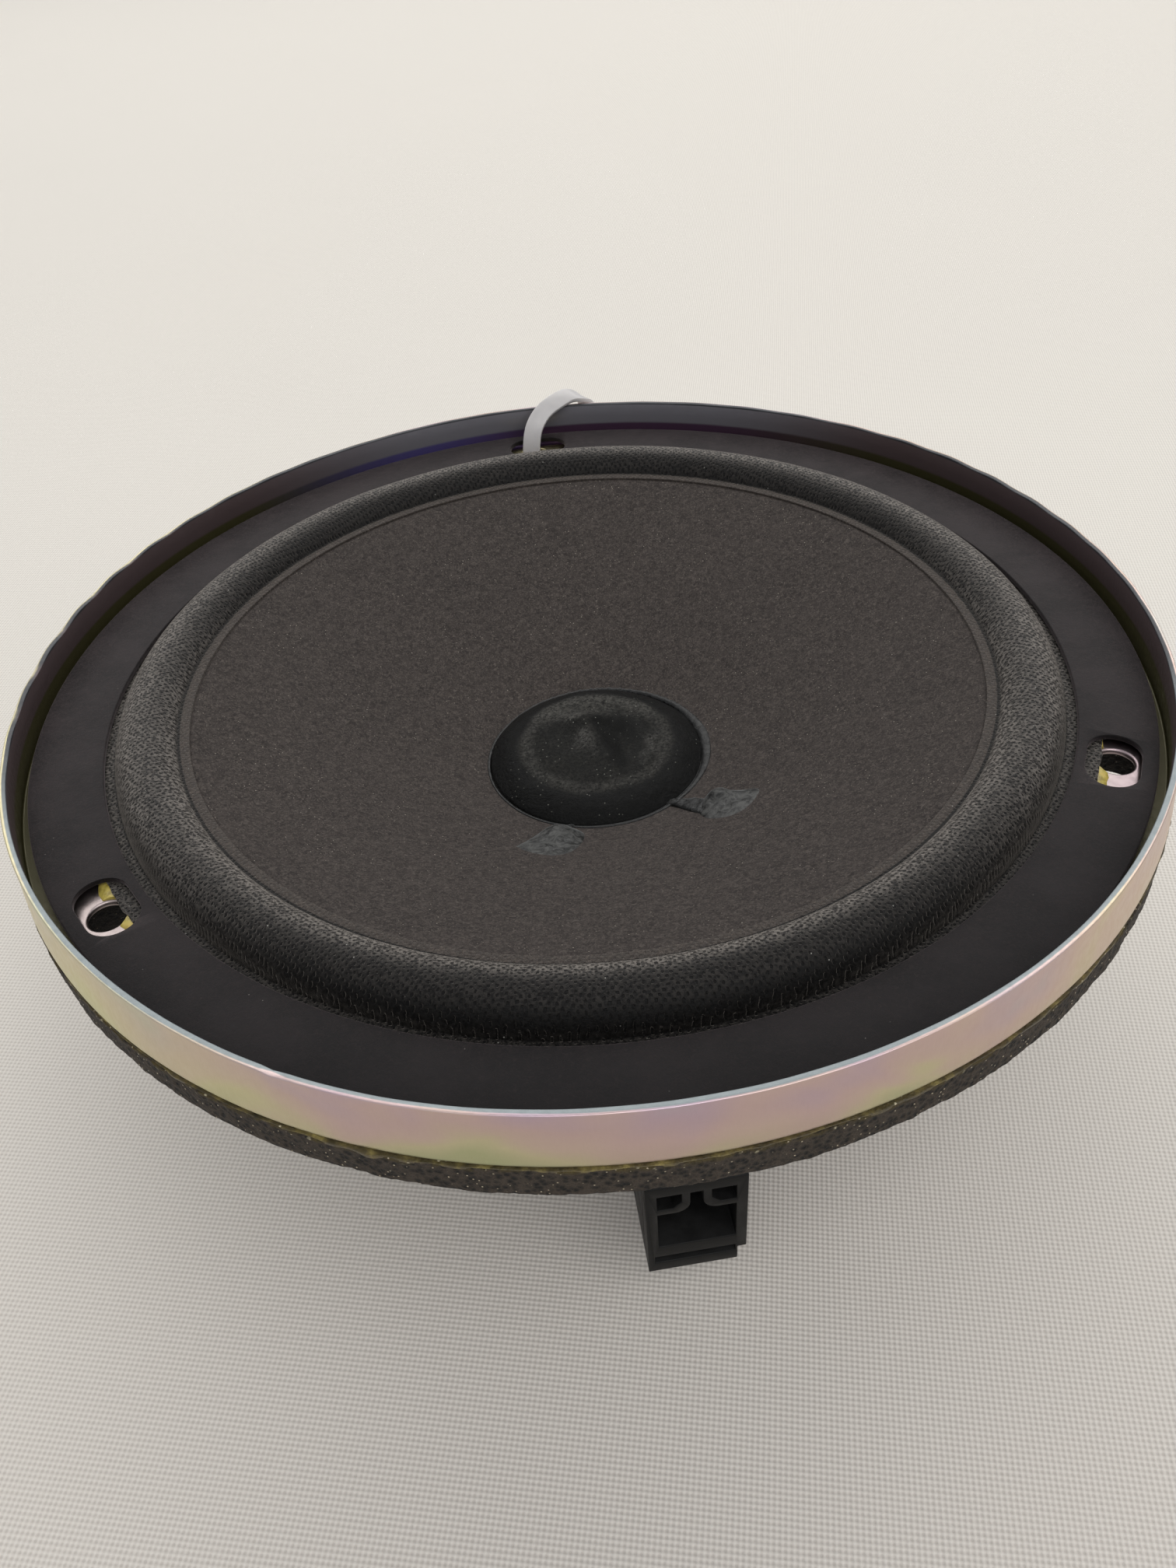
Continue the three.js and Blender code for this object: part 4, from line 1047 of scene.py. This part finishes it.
def edge_cement():
    """Amber cement run out from under the surround's cloth, seen in the slots."""
    def uneven(grid):
        radius, angle = polar(grid)
        ring = on_circle(angle, 60)
        run = 0.9 * noise_at(ring, 3.0, 21) + 0.3 * noise_at(ring, 0.9, 22)
        run -= 1.5 * peak_at(angle, -20, 0.035)
        push_out(grid, smooth_step(radius, 73.5, 75) * run.clip(-1.4, 1.2))
        return grid

    section = [(73.2, 0), (74.7, 0), (74.6, 0.16), (74.2, 0.34), (73.8, 0.48), (73.2, 0.5)]
    low = SEAT_Z + SHEET / 2 - 0.03
    outline = vectors(*((radius, low + height) for radius, height in section))
    cement = turned("edge_cement", outline, 540, uneven)
    hole = pillar(circle(2.9, 48), FLANGE_Z - 3, SEAT_Z + 3)
    boolean(cement, merged("cement_holes", around(hole, SCREW_CIRCLE, SCREW_ANGLES)))
    dress(cement, "amber_cement", "frame")


# ---------- cable tie ----------
def cable_tie():
    """The strap rises out of the rear screw hole, twists and runs over the rim to its head."""
    marks = [
        ((5.0, 84.6, 54.5), (1.0, -0.25, 0.0)),
        ((3.9, 83.6, 51.6), (0.9, -0.5, 0.0)),
        ((0.6, 80.8, 50.5), (0.7, -0.7, 0.0)),
        ((-3.6, 77.4, 50.6), (0.7, -0.7, 0.0)),
        ((-6.3, 75.2, 52.6), (0.9, -0.4, 0.0)),
        ((-6.9, 75.0, 57.0), (1.0, -0.05, 0.0)),
        ((-6.7, 75.5, 61.0), (1.0, 0.0, 0.0)),
        ((-5.9, 76.8, 64.0), (0.95, -0.2, -0.25)),
        ((-4.1, 78.8, 66.0), (0.8, -0.4, -0.4)),
        ((-1.5, 81.0, 67.0), (0.65, -0.55, -0.5)),
        ((1.6, 83.2, 67.25), (0.7, -0.6, -0.38)),
        ((4.2, 84.4, 65.6), (0.8, -0.45, -0.3)),
        ((5.3, 84.9, 62.6), (1.0, -0.2, 0.0)),
        ((5.5, 85.0, 60.5), (1.0, -0.2, 0.0)),
    ]
    line = smooth_route([place + side for place, side in marks], 8)
    route = [Vector(row[:3]) for row in line]
    sides = [Vector(row[3:]) for row in line]
    section = rectangle(3.4, 1.0, 0.28, steps=2)
    strap = swept("cable_tie_strap", route, sides, section)
    dress(strap, "natural_nylon", "frame", "cable_tie")
    teeth = []
    for i in range(16):
        teeth.append(Vector((7.0, 86.2, 54.6 - 0.45 * i)) + Vector((0, 0.1 * (i % 2), 0)))
    tail = swept("cable_tie_tail", teeth, vectors((1, -0.2, 0)) * len(teeth), section)
    dress(tail, "natural_nylon", "frame")
    levels = [(54.4, -0.5), (54.9, -0.1), (55.2, 0), (59.6, 0), (59.9, -0.1), (60.4, -0.5)]
    points, faces = prism(rectangle(5.4, 4.4, 0.7), *levels)
    block = turned_about(points, TIE_HEAD_ANGLE) + [6.1, 86.2, 0]
    head = new_piece("cable_tie_head", block, faces)
    points, faces = pillar(rectangle(4.0, 1.2, 0.2), 50, 58.8)
    groove = turned_about(points, TIE_HEAD_ANGLE) + [6.9, 86.6, 0]
    boolean(head, new_piece("groove", groove, faces))
    dress(head, "natural_nylon", "frame")


# ---------- connector ----------
def connector():
    """The plug socket, with two shallow seams down its left side, and its two blades."""
    housing = from_cad("socket_housing", "connector_housing", 0.14)
    seams = []
    left, right, deep = -4.32, -4.0, 0.35
    for low, high, y in ((13.5, 27.5, -66.2), (9.6, 30.5, -58.5)):
        slit = vectors((left, y), (right, y), (right, y + deep), (left, y + deep))
        points, faces = pillar(slit, low, high)
        seams.append((turned_about(points, CONNECTOR_ANGLE), faces))
    boolean(housing, merged("seams", seams), smooth_angle=30)
    dress(housing, "black_plastic", "frame", "connector_housing")
    for side in ("left", "right"):
        blade = from_cad(f"blade_{side}", f"terminal_{side}", 0.12)
        dress(blade, "tinned_brass", "frame", f"terminal_{side}")


# ---------- fasteners and motor ----------
def rivet(node, seat):
    """A domed rivet with a shallow punch mark in its head."""
    low, high = box_mm(node)
    centre = (low + high) / 2
    outline = rounded([
        (0, low.z, 0), (2, low.z, 0.2), (2, seat, 0.1), (3.5, seat, 0.15), (3.2, seat + 0.75, 0.5),
        (1.5, seat + 1.15, 0.3), (1.2, seat + 0.75, 0.2), (0, seat + 0.65, 0),
    ])
    name = node.replace("connector", "lug") + "_head"
    piece = turned(name, outline, 48, lambda grid: grid + [centre.x, centre.y, 0])
    dress(piece, "plain_steel", "frame", node)


def rivets():
    """Four through the top plate, and one through the socket housing's lug."""
    for number in range(1, 5):
        rivet(f"plate_rivet_{number}", PLATE_TOP + 1.0)
    rivet("connector_rivet", LEDGE_Z + 0.5)


def motor():
    low, high = heights("back_plate")
    back = rounded([
        (0, low + 0.9, 0), (3.0, low + 0.9, 0.2), (4.2, low, 0.25), (11.8, low, 0.2),
        (12.1, low + 0.25, 0.1), (12.4, low, 0.2), (PLATE_RADIUS - 1, low, 0.3),
        (PLATE_RADIUS, low + 1.0, 0.4), (PLATE_RADIUS, high - 0.4, 0.25),
        (PLATE_RADIUS - 0.6, high, 0.25), (0, high, 0),
    ])
    dress(turned("back_plate_turned", back, 192), "plain_steel", "frame", "back_plate")

    def chipped(grid):
        chips = (noise_at(grid, 3.2, 31) - 0.25).clip(0, 1) * 1.1
        edge = smooth_step(polar(grid)[0], MAGNET_RADIUS - 1.4, MAGNET_RADIUS - 0.4)
        push_out(grid, -edge * chips)
        return grid

    low, high = heights("magnet")
    ring = rounded([
        (MAGNET_BORE, low, 0.4), (MAGNET_RADIUS, low, 1.0),
        (MAGNET_RADIUS, high, 1.0), (MAGNET_BORE, high, 0.4),
    ], steps=5)
    ring = divided(ring, lambda a, b: 1.5)
    dress(turned("magnet_ring", ring, 240, chipped), "ferrite", "frame", "magnet")
    low, high = heights("top_plate")
    top = turned("top_plate_ring", block_outline(GAP_OUTER, PLATE_RADIUS, low, high, 0.4), 192)
    stake = pillar(circle(RIVET_HOLE, 32), low + 1, high + 2)
    boolean(top, merged("stakes", around(stake, PLATE_RIVET_CIRCLE, PLATE_RIVET_ANGLES)))
    dress(top, "plain_steel", "frame", "top_plate")
    low, high = heights("pole_piece")
    pole = rounded([
        (0, low, 0), (POLE_RADIUS, low, 0.3), (POLE_RADIUS, high, 0.5), (2.6, high, 0.3),
        (0, high - 1.6, 0),
    ])
    dress(turned("pole", pole, 128), "plain_steel", "frame", "pole_piece")


# ---------- suspension ----------
def radial_blend(piece):
    """Bakes the piece's placement into its mesh."""
    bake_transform(piece)


def surround():
    start = (LIP_Z - ROLL_CENTRE.y) / ROLL_RADIUS
    turns = np.linspace(0.05, math.pi - math.asin(start), 30)
    roll = [ROLL_CENTRE + Vector((math.cos(t), math.sin(t))) * ROLL_RADIUS for t in turns]
    glued = vectors(
        (CLOTH_OUTER, CLOTH_Z), (71.5, CLOTH_Z), (69.6, CLOTH_Z), (69.0, CLOTH_Z + 0.02),
        (68.75, CLOTH_Z + 0.12),
    )
    lip = vectors(
        (60.0, LIP_Z - 0.12), (59.6, LIP_Z - 0.12), (58.9, LIP_Z - 0.1), (58.25, LIP_Z - 0.2)
    )

    def soften(grid):
        radius = polar(grid)[0]
        crown = smooth_step(radius, 60.5, 63) * (1 - smooth_step(radius, 66, 68.3))
        grid[..., 2] += crown * 0.1 * noise_at(grid, 14, 41)
        slack = smooth_step(radius, 71, 73.6)
        grid[..., 2] += slack * (0.12 + 0.1 * noise_at(grid, 3, 42))
        push_out(grid, slack * 0.3 * noise_at(grid, 1.6, 43))
        return grid

    outline = sheet_outline(glued + roll + lip, 0.5, 0.1)
    piece = turned("surround_roll", outline, 360, soften, smooth_angle=60)
    dress(piece, "coated_cloth", None, "surround")
    radial_blend(piece)


def spider():
    foot, neck, middle = 37.2, 16.0, 39.8
    seat = LEDGE_Z + SHEET / 2 + GLUE_GAP + 0.25
    path = vectors((44.5, seat), (41, seat), (38.3, seat))
    for radius in np.linspace(foot, neck, 110):
        level = middle + math.sin((foot - radius) / 21.2 * 9 * math.pi + math.pi)
        path.append(Vector((radius, max(level, 39.15) if radius > 36.5 else level)))
    path += vectors((15.2, middle), (13.5, middle))
    piece = turned("spider_rolls", sheet_outline(path, 0.45, 0.1), 240, smooth_angle=60)
    dress(piece, "resin_cloth", None, "spider")
    radial_blend(piece)


LEAD_ROUTES = {
    "left": [(4.7, -56.9, 43.2), (4.4, -55.6, 45), (2.5, -50, 46.4), (-1.5, -41, 45.2),
             (-5, -31, 43.6), (-6.4, -25, 43.7), (-6.5, -22.6, 44.6)],
    "right": [(11, -56.3, 43.2), (11.2, -55, 45), (13, -49, 46.6), (16.5, -39, 45.6),
              (19, -29, 44.8), (19.8, -21.5, 45), (19.6, -18.2, 45.7)],
}


def tinsel_leads():
    """Braided leads: a round section whose surface is ridged by strands that wind both ways."""
    for side, marks in LEAD_ROUTES.items():
        line = [Vector(point) for point in smooth_route(marks, 40)]
        rings = []
        count = 20
        for i, point in enumerate(line):
            along = (line[min(i + 1, len(line) - 1)] - line[max(i - 1, 0)]).normalized()
            side_way = along.cross(Vector((0, 0, 1))).normalized()
            upward = side_way.cross(along)
            for k in range(count):
                turn = 2 * math.pi * k / count
                braid = math.sin(5 * turn + i * 0.55) * math.sin(5 * turn - i * 0.55)
                radius = 0.54 + 0.05 * braid
                rings.append(point + (side_way * math.cos(turn) + upward * math.sin(turn)) * radius)
        faces = tube_faces(len(line), count)
        piece = new_piece(f"tinsel_braid_{side}", np.array(rings), faces, 70)
        dress(piece, "tinsel_wire", None, f"tinsel_lead_{side}")
        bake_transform(piece)


# ---------- cone assembly ----------
def cone():
    path = rounded([
        (CONE_EDGE, CONE_LAND_Z, 0), (CONE_LAND, CONE_LAND_Z, 1.2),
        (50, cone_z(50), 0), (40, cone_z(40), 0), (30, cone_z(30), 0), (20, cone_z(20), 0),
        (CONE_NECK, cone_z(CONE_NECK), 0.5), (CONE_NECK, cone_z(CONE_NECK) - 1.1, 0),
    ], closed=False, steps=6)
    path = divided(path, lambda a, b: 1.0, closed=False)

    def uneven(grid):
        radius = polar(grid)[0]
        free = smooth_step(radius, 14, 20) * (1 - smooth_step(radius, 54, 57.5))
        grid[..., 2] += free * (0.07 * noise_at(grid, 18, 51) + 0.02 * noise_at(grid, 3.5, 52))
        return grid

    piece = turned("cone_paper", sheet_outline(path, PAPER, 0.12), 300, uneven, smooth_angle=60)
    dress(piece, "cone_paper", "cone_assembly", "cone")


def cap_height(x, y):
    """Height of the cap's outside above its foot: a steep skirt, a low crown and a soft dent."""
    radius = np.hypot(x, y)
    skirt = np.clip((CAP_RADIUS - radius) / (CAP_RADIUS - 12.6), 0, 1)
    rise = 2.35 * (1 - (1 - skirt) ** 1.7)
    crown = 0.75 * np.clip(1 - (radius / 12.8) ** 2, 0, 1)
    u, v = x - 3.4, y + 0.7  # from the fold's middle, which is turned by about 20 degrees
    along = v * 0.936 - u * 0.35
    across = u * 0.936 + v * 0.35
    fold = np.exp(-((across / 2.0) ** 2) - ((along / 5.4) ** 2))
    hollow = np.exp(-(((x - 6.6) / 3.2) ** 2) - (((y - 0.5) / 5.5) ** 2))
    ridge = np.exp(-(((across + 2.6) / 1.9) ** 2) - ((along - 1.5) / 4.4) ** 2)
    brow = np.exp(-(((x + 1.4) / 3.6) ** 2) - ((y - 5.2) / 1.7) ** 2)
    dish = np.exp(-(((x + 4.2) / 4.0) ** 2) - ((y - 0.6) / 3.2) ** 2)
    bumps = 1.0 * ridge + 0.9 * brow - 0.7 * fold - 1.2 * hollow - 0.5 * dish
    return rise + crown + bumps


def dust_cap():
    rings, count = 46, 160
    reach = CAP_RADIUS * np.linspace(0, 1, rings) ** 0.85
    angle = np.linspace(0, 2 * np.pi, count, endpoint=False)
    x = reach[:, None] * np.cos(angle)
    y = reach[:, None] * np.sin(angle)
    foot = cone_z(CAP_RADIUS) + PAPER / 2 + 0.15
    top = np.stack([x + CAP_CENTRE.x, y + CAP_CENTRE.y, foot + 0.1 + cap_height(x, y)], -1)
    top[..., 2] += 0.16 * noise_at(top, 4, 61) + 0.06 * noise_at(top, 1.5, 62)
    under = top.copy()
    under[..., 2] -= 0.5
    under[-1, :, 2] = top[-1, :, 2] - 0.25
    grid = np.concatenate([top, under[::-1]])
    faces = grid_faces(2 * rings, count, False, True)
    cap = new_piece("dust_cap_dome", grid, faces, 60)
    dress(cap, "cap_paper", "cone_assembly", "dust_cap")


def cap_fillet():
    """Glue round the cap's foot: a thin glossy ring, thicker on the right, beaded at the back."""
    count, sides = 420, 10
    rings = []
    for i in range(count):
        turn = 2 * math.pi * i / count
        degrees = math.degrees(turn)
        right = math.exp(-(((degrees + 180) % 360 - 180 - 2) / 38) ** 2)
        back = math.exp(-((degrees - 92) / 42) ** 2)
        front = math.exp(-((degrees - 300) / 25) ** 2)
        bead = back * 0.11 * max(0, math.sin(degrees * 1.55) * math.sin(degrees * 0.43 + 1))
        wide = 0.34 + 0.5 * right + 0.1 * front + bead
        high = 0.36 + 0.12 * right + 1.2 * bead
        wander = 0.1 * noise.noise(Vector((math.cos(turn) * 4, math.sin(turn) * 4, 2.5)))
        middle = CAP_RADIUS + 0.12 + wide * 0.45 + wander
        for k in range(sides):
            a = 2 * math.pi * k / sides
            groove = 0.16 * right * max(0, math.cos(a - 1.2)) ** 4
            radius = middle + wide * math.cos(a)
            x = CAP_CENTRE.x + radius * math.cos(turn)
            y = CAP_CENTRE.y + radius * math.sin(turn)
            base = cone_z(math.hypot(x, y)) + PAPER / 2 - 0.05
            rings.append((x, y, base + high * max(-0.3, math.sin(a)) * (1 - groove)))
    piece = new_piece("cap_glue_fillet", np.array(rings), grid_faces(count, sides, True, True), 80)
    dress(piece, "black_glue", "cone_assembly")


def smear(side, outline, peak):
    """A smear of glue on the cone, from its outline and the place of its peak."""
    border = smooth_route([*outline, outline[0]], 8)[:-1]
    centre = border.mean(axis=0)
    rings = []
    for level in np.linspace(0, 1, 15):
        inside = centre + (border - centre) * level
        radius = np.hypot(inside[:, 0], inside[:, 1])
        flat = np.column_stack([inside, 0 * radius])
        reach = np.hypot(inside[:, 0] - peak[0], inside[:, 1] - peak[1])
        swell = (0.25 + 1.7 * np.exp(-((reach / 2.6) ** 2))) * (1 - level**4) ** 0.6
        creases = 0.22 * noise_at(flat, 1.2, 71) + 0.4 * np.abs(noise_at(flat, 2.4, 72))
        z = cone_z(radius) + PAPER / 2 + 0.02 + swell + creases * (1 - level**5)
        rings.append(np.column_stack([inside, z]))
    under = rings[-1].copy()
    under[:, 2] -= 0.25
    low = rings[0].copy()
    low[:, 2] = cone_z(np.hypot(*centre)) - 0.1
    grid = np.array([*rings, under, low])
    faces = grid_faces(len(grid), len(border), False, True)
    piece = new_piece(f"glue_smear_{side}", grid, faces, 60)
    dress(piece, "clear_glue", "cone_assembly", f"lead_dot_{side}")


def glue_dots():
    left = [(-11.7, -24.9), (-9.9, -22.2), (-8.0, -19.0), (-6.4, -17.7), (-3.2, -17.9),
            (-1.9, -19.8), (-2.2, -23.0), (-3.9, -26.6), (-6.6, -27.7), (-9.8, -26.6)]
    right = [(15.0, -19.4), (15.6, -17.0), (17.0, -14.9), (18.5, -14.8), (20.4, -16.2),
             (23.9, -17.7), (23.1, -20.3), (21.0, -22.6), (18.5, -23.2), (16.0, -22.0)]
    smear("left", left, (-5.4, -20.0))
    smear("right", right, (17.9, -16.8))


def coil_leads():
    """Lead-outs from under the cap, buried in black glue, running to the two smears."""
    routes = {
        "left": [(-3.6, -16.4), (-4.2, -17.6), (-4.8, -18.8), (-5.6, -20.6), (-6.2, -22.2)],
        "right": [(10.9, -12.9), (12.4, -14.2), (13.9, -15.6), (15.4, -17.2), (16.8, -18.4)],
    }
    for side, marks in routes.items():
        line = smooth_route(marks, 10)
        rings, count = [], 14
        for i, (x, y) in enumerate(line):
            share = i / (len(line) - 1)
            before, after = line[max(i - 1, 0)], line[min(i + 1, len(line) - 1)]
            along = Vector((after[0] - before[0], after[1] - before[1])).normalized()
            wide = (0.75 + 1.5 * share) * (0.7 if side == "left" else 1)
            high = 0.55 + 0.45 * math.sin(math.pi * share)
            for k in range(count):
                a = 2 * math.pi * k / count
                across = wide * math.cos(a)
                px, py = x - along.y * across, y + along.x * across
                lumps = 0.75 + 0.5 * noise.noise(Vector((px, py, a)) * 0.9)
                lift = high * max(-0.35, math.sin(a)) * lumps
                rings.append((px, py, cone_z(math.hypot(px, py)) + PAPER / 2 + lift))
        faces = tube_faces(len(line), count)
        piece = new_piece(f"lead_out_{side}", np.array(rings), faces, 70)
        dress(piece, "black_glue", "cone_assembly", f"coil_lead_{side}")


def voice_coil():
    low, high = heights("voice_coil_winding")
    steps = 34 * 4  # four for each of the 34 turns of wire
    outline = vectors((12.87, low), (12.87, high))
    for i in range(steps, -1, -1):
        bulge = abs(math.sin(math.pi * i / 4))
        outline.append(Vector((13.12 + 0.12 * bulge, low + (high - low) * i / steps)))
    winding = turned("coil_winding", outline, 128, smooth_angle=80)
    dress(winding, "enamelled_copper", "cone_assembly", "voice_coil_winding")
    outline = block_outline(12.55, 12.8, *heights("voice_coil_former"), 0.08)
    dress(turned("coil_former", outline, 128), "coil_film", "cone_assembly", "voice_coil_former")


# ---------- camera, light and stage ----------
def camera():
    """The photograph's view: from the front, about 34 degrees up, and turned a little aside."""
    data = bpy.data.cameras.new("camera")
    eye = bpy.data.objects.new("camera", data)
    bpy.context.scene.collection.objects.link(eye)
    data.lens = 28.22
    data.sensor_width = 36
    data.clip_start, data.clip_end = 0.01, 20
    elevation = math.radians(33.904)
    distance = 2.217 * RIM_RADIUS
    small_turn = Euler([math.radians(angle) for angle in (-6.852, -0.318, -4.574)], "XYZ")
    back = Vector((0, -math.cos(elevation), math.sin(elevation)))
    right = Vector((1, 0, 0))
    level = Matrix((right, back.cross(right), back)).transposed()
    place = (Vector((0, 0, RIM_TOP)) + back * distance) * MM
    eye.matrix_world = Matrix.Translation(place) @ (level @ small_turn.to_matrix()).to_4x4()
    bpy.context.scene.camera = eye


def area_light(name, place, size, power, colour):
    """A soft rectangular lamp that shines on the frame's origin."""
    data = bpy.data.lights.new(name, "AREA")
    data.shape = "RECTANGLE"
    data.size, data.size_y = size
    data.energy = power
    data.color = colour
    lamp = bpy.data.objects.new(name, data)
    bpy.context.scene.collection.objects.link(lamp)
    lamp.location = place
    lamp.rotation_euler = (-Vector(place)).to_track_quat("-Z", "Y").to_euler()


def stage():
    """A pale cloth, finely divided near the speaker, with soft folds further out."""
    steps, half_width = 220, 2600
    axis = np.linspace(-1, 1, steps)
    spread = np.sign(axis) * np.abs(axis) ** 2.2 * half_width
    x, y = np.meshgrid(spread, spread)
    grid = np.stack([x, y, np.zeros_like(x)], -1)
    soft = 2.2 * noise_at(grid, 150, 81) + 0.9 * noise_at(grid, 45, 82)
    near = smooth_step(np.hypot(x, y), 60, 260)
    grid[..., 2] = soft * near - 2.4 * near - 0.02
    floor = new_piece("floor", grid, grid_faces(steps, steps, False, False), 60)
    floor.data.materials.append(backdrop())
    area_light("key", (0.05, 1.25, 1.3), (2.8, 1.4), 20, (1.0, 0.985, 0.955))
    area_light("fill", (0.45, -1.0, 1.4), (1.8, 1.4), 14, (1.0, 0.985, 0.96))
    world = bpy.data.worlds.new("soft room")
    world.use_nodes = True
    world.node_tree.nodes["Background"].inputs["Color"].default_value = (0.95, 0.97, 1.0, 1)
    world.node_tree.nodes["Background"].inputs["Strength"].default_value = 0.6
    bpy.context.scene.world = world
    bpy.context.scene.view_settings.view_transform = "Standard"


camera()
basket()
front_ring()
foam_ring()
foam_adhesive()
edge_cement()
cable_tie()
connector()
rivets()
motor()
surround()
spider()
tinsel_leads()
cone()
dust_cap()
cap_fillet()
glue_dots()
coil_leads()
voice_coil()
stage()
